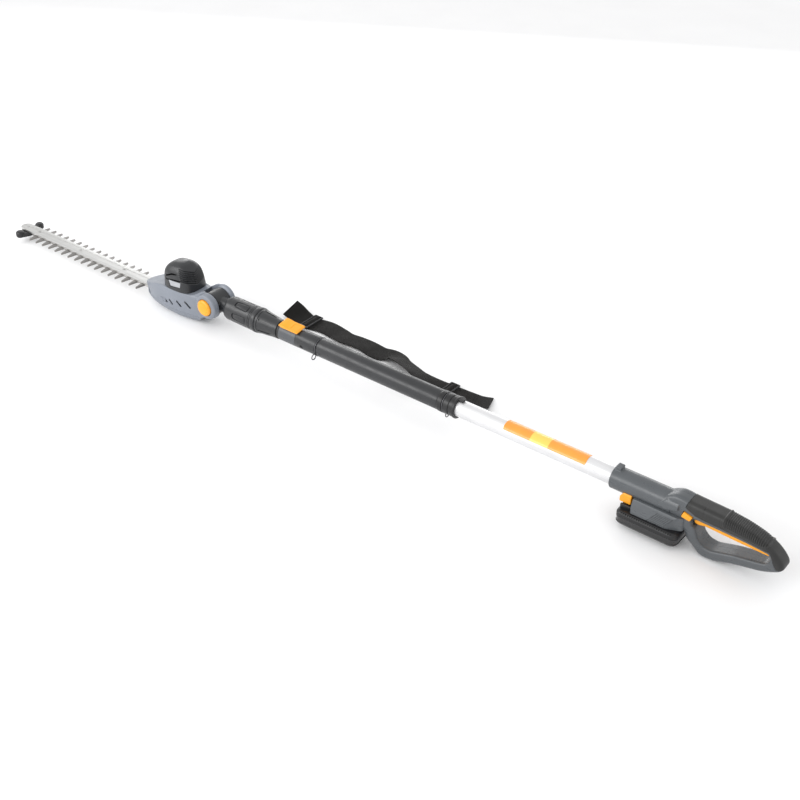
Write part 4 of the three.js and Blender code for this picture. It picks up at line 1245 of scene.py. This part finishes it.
def shoulder_strap():
    points, faces, uvs, length = webbing(STRAP_ROUTE, STRAP_WIDTH, STRAP_THICK)
    for x, y, lift in SLIDERS:
        over = [
            (x - 15, y, 1.6, 0), (x - 7, y, lift + 2.2, 0), (x, y, lift + 5.2, 0),
            (x + 7, y, lift + 2.2, 0), (x + 15, y, 1.6, 0),
        ]
        more_points, more_faces, more_uvs, _ = webbing(over, STRAP_WIDTH - 3.4, 1.3, 8)
        start = len(points)
        points += more_points
        faces += [tuple(start + k for k in face) for face in more_faces]
        uvs += more_uvs
    mesh = bpy.data.meshes.new("strap")
    mesh.from_pydata([tuple(p) for p in points], [], faces)
    layer = mesh.uv_layers.new(name="cloth")
    for loop in mesh.loops:
        layer.data[loop.index].uv = uvs[loop.vertex_index]
    edit = bmesh.new()
    edit.from_mesh(mesh)
    bmesh.ops.recalc_face_normals(edit, faces=edit.faces)
    edit.to_mesh(mesh)
    edit.free()
    return linked("strap", mesh), length


def strap_slider(x, y, lift):
    half = STRAP_WIDTH / 2 + 2.5
    z = floor_at(x) + 2.4 + lift
    frame = prism("z", rectangle(-11, 11, -half, half, 3), soft(z, z + 3, 1.1))
    opening = [(z - 2, 0), (z + 6, 0)]
    slots = [prism("z", rectangle(s - 3, s + 3, 2.5 - half, half - 2.5, 1), opening) for s in (-5, 5)]
    ribs = [box(s - 0.5, s + 0.5, -half + 4, half - 4, z + 2.6, z + 3.4) for s in (-9.8, 9.8)]
    return moved(cut(frame, together(slots), together(ribs)), x, y)


# ---------- everything in its place ----------
def put(draw, material, smooth_angle=38):
    """Draws the piece that a function is named after."""
    piece(draw(), draw.__name__, material, smooth_angle)


add_camera()
add_floor()
add_lights()

piece(blade(BLADE_TOP), "upper_blade", BLADE, 25)
piece(blade(BLADE_TOP - BLADE_THICK - GAP), "lower_blade", BLADE, 25)
for number, x in enumerate(GUIDE_BOLTS, 1):
    piece(guide_bolt(x), f"guide_bolt_{number}", BAR)
put(guide_bar, BAR, 25)
put(tip_guard, BLACK)
housing, cover = housing_and_cover()
piece(housing, "head_housing", HEAD_GREY, 60)
piece(cover, "base_cover", HEAD_GREY, 60)
put(motor_cover, CHARCOAL, 50)
plate = motor_plate()
plate.name = "motor_plate"
plate.data.transform(TOOL)
plate.data.materials.append(PLATE)
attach(plate, "head")
put(tilt_button, ORANGE)
put(pivot_cap, BLACK)
put(neck_knuckle, CHARCOAL, 60)
put(union_nut, SATIN)
put(pole_socket, SATIN)
put(inner_tube, TUBE)
piece(pipe(POLE_R, POLE_R - 1.25, TUBE_FRONT_X, TUBE_REAR_X), "main_tube", TUBE)
piece(pipe(17.6, INNER_R + GAP, -820.7, CLAMP_X - GAP, 0.8), "seal_ring", SEAL)
piece(pipe(SLEEVE_R, SOCKET_BORE, CLAMP_END_X + GAP, COLLAR_X - GAP, 0.6), "grip_sleeve", SATIN)
put(clamp_ring, CLAMP_GREY)
put(clamp_body, SATIN)
put(clamp_screw, SCREW_BLACK)
put(clamp_lever, ORANGE)
piece(strap_ring(19.2, FRONT_RING_X, FRONT_RING_TURN), "front_strap_ring", WIRE)
piece(strap_ring(19.4, REAR_RING_X), "rear_strap_ring", WIRE)
put(rear_collar, BLACK)
put(tube_label, LABEL)
put(grip_overmould, RUBBER, 60)
left, right = handle_shells()
piece(left, "left_handle_shell", HANDLE_GREY, 60)
piece(right, "right_handle_shell", HANDLE_GREY, 60)
put(lock_off_button, ORANGE)
put(trigger, ORANGE)
put(battery_dock, HANDLE_GREY, 30)
put(battery_lower_case, GLOSS)
put(battery_upper_case, BLACK)
put(battery_release, ORANGE)
sliders = [
    piece(strap_slider(*place), "strap_slider_" + end, BLACK)
    for place, end in zip(SLIDERS, ("front", "rear"))
]
strap, strap_length = shoulder_strap()
piece(strap, "shoulder_strap", WEBBING)
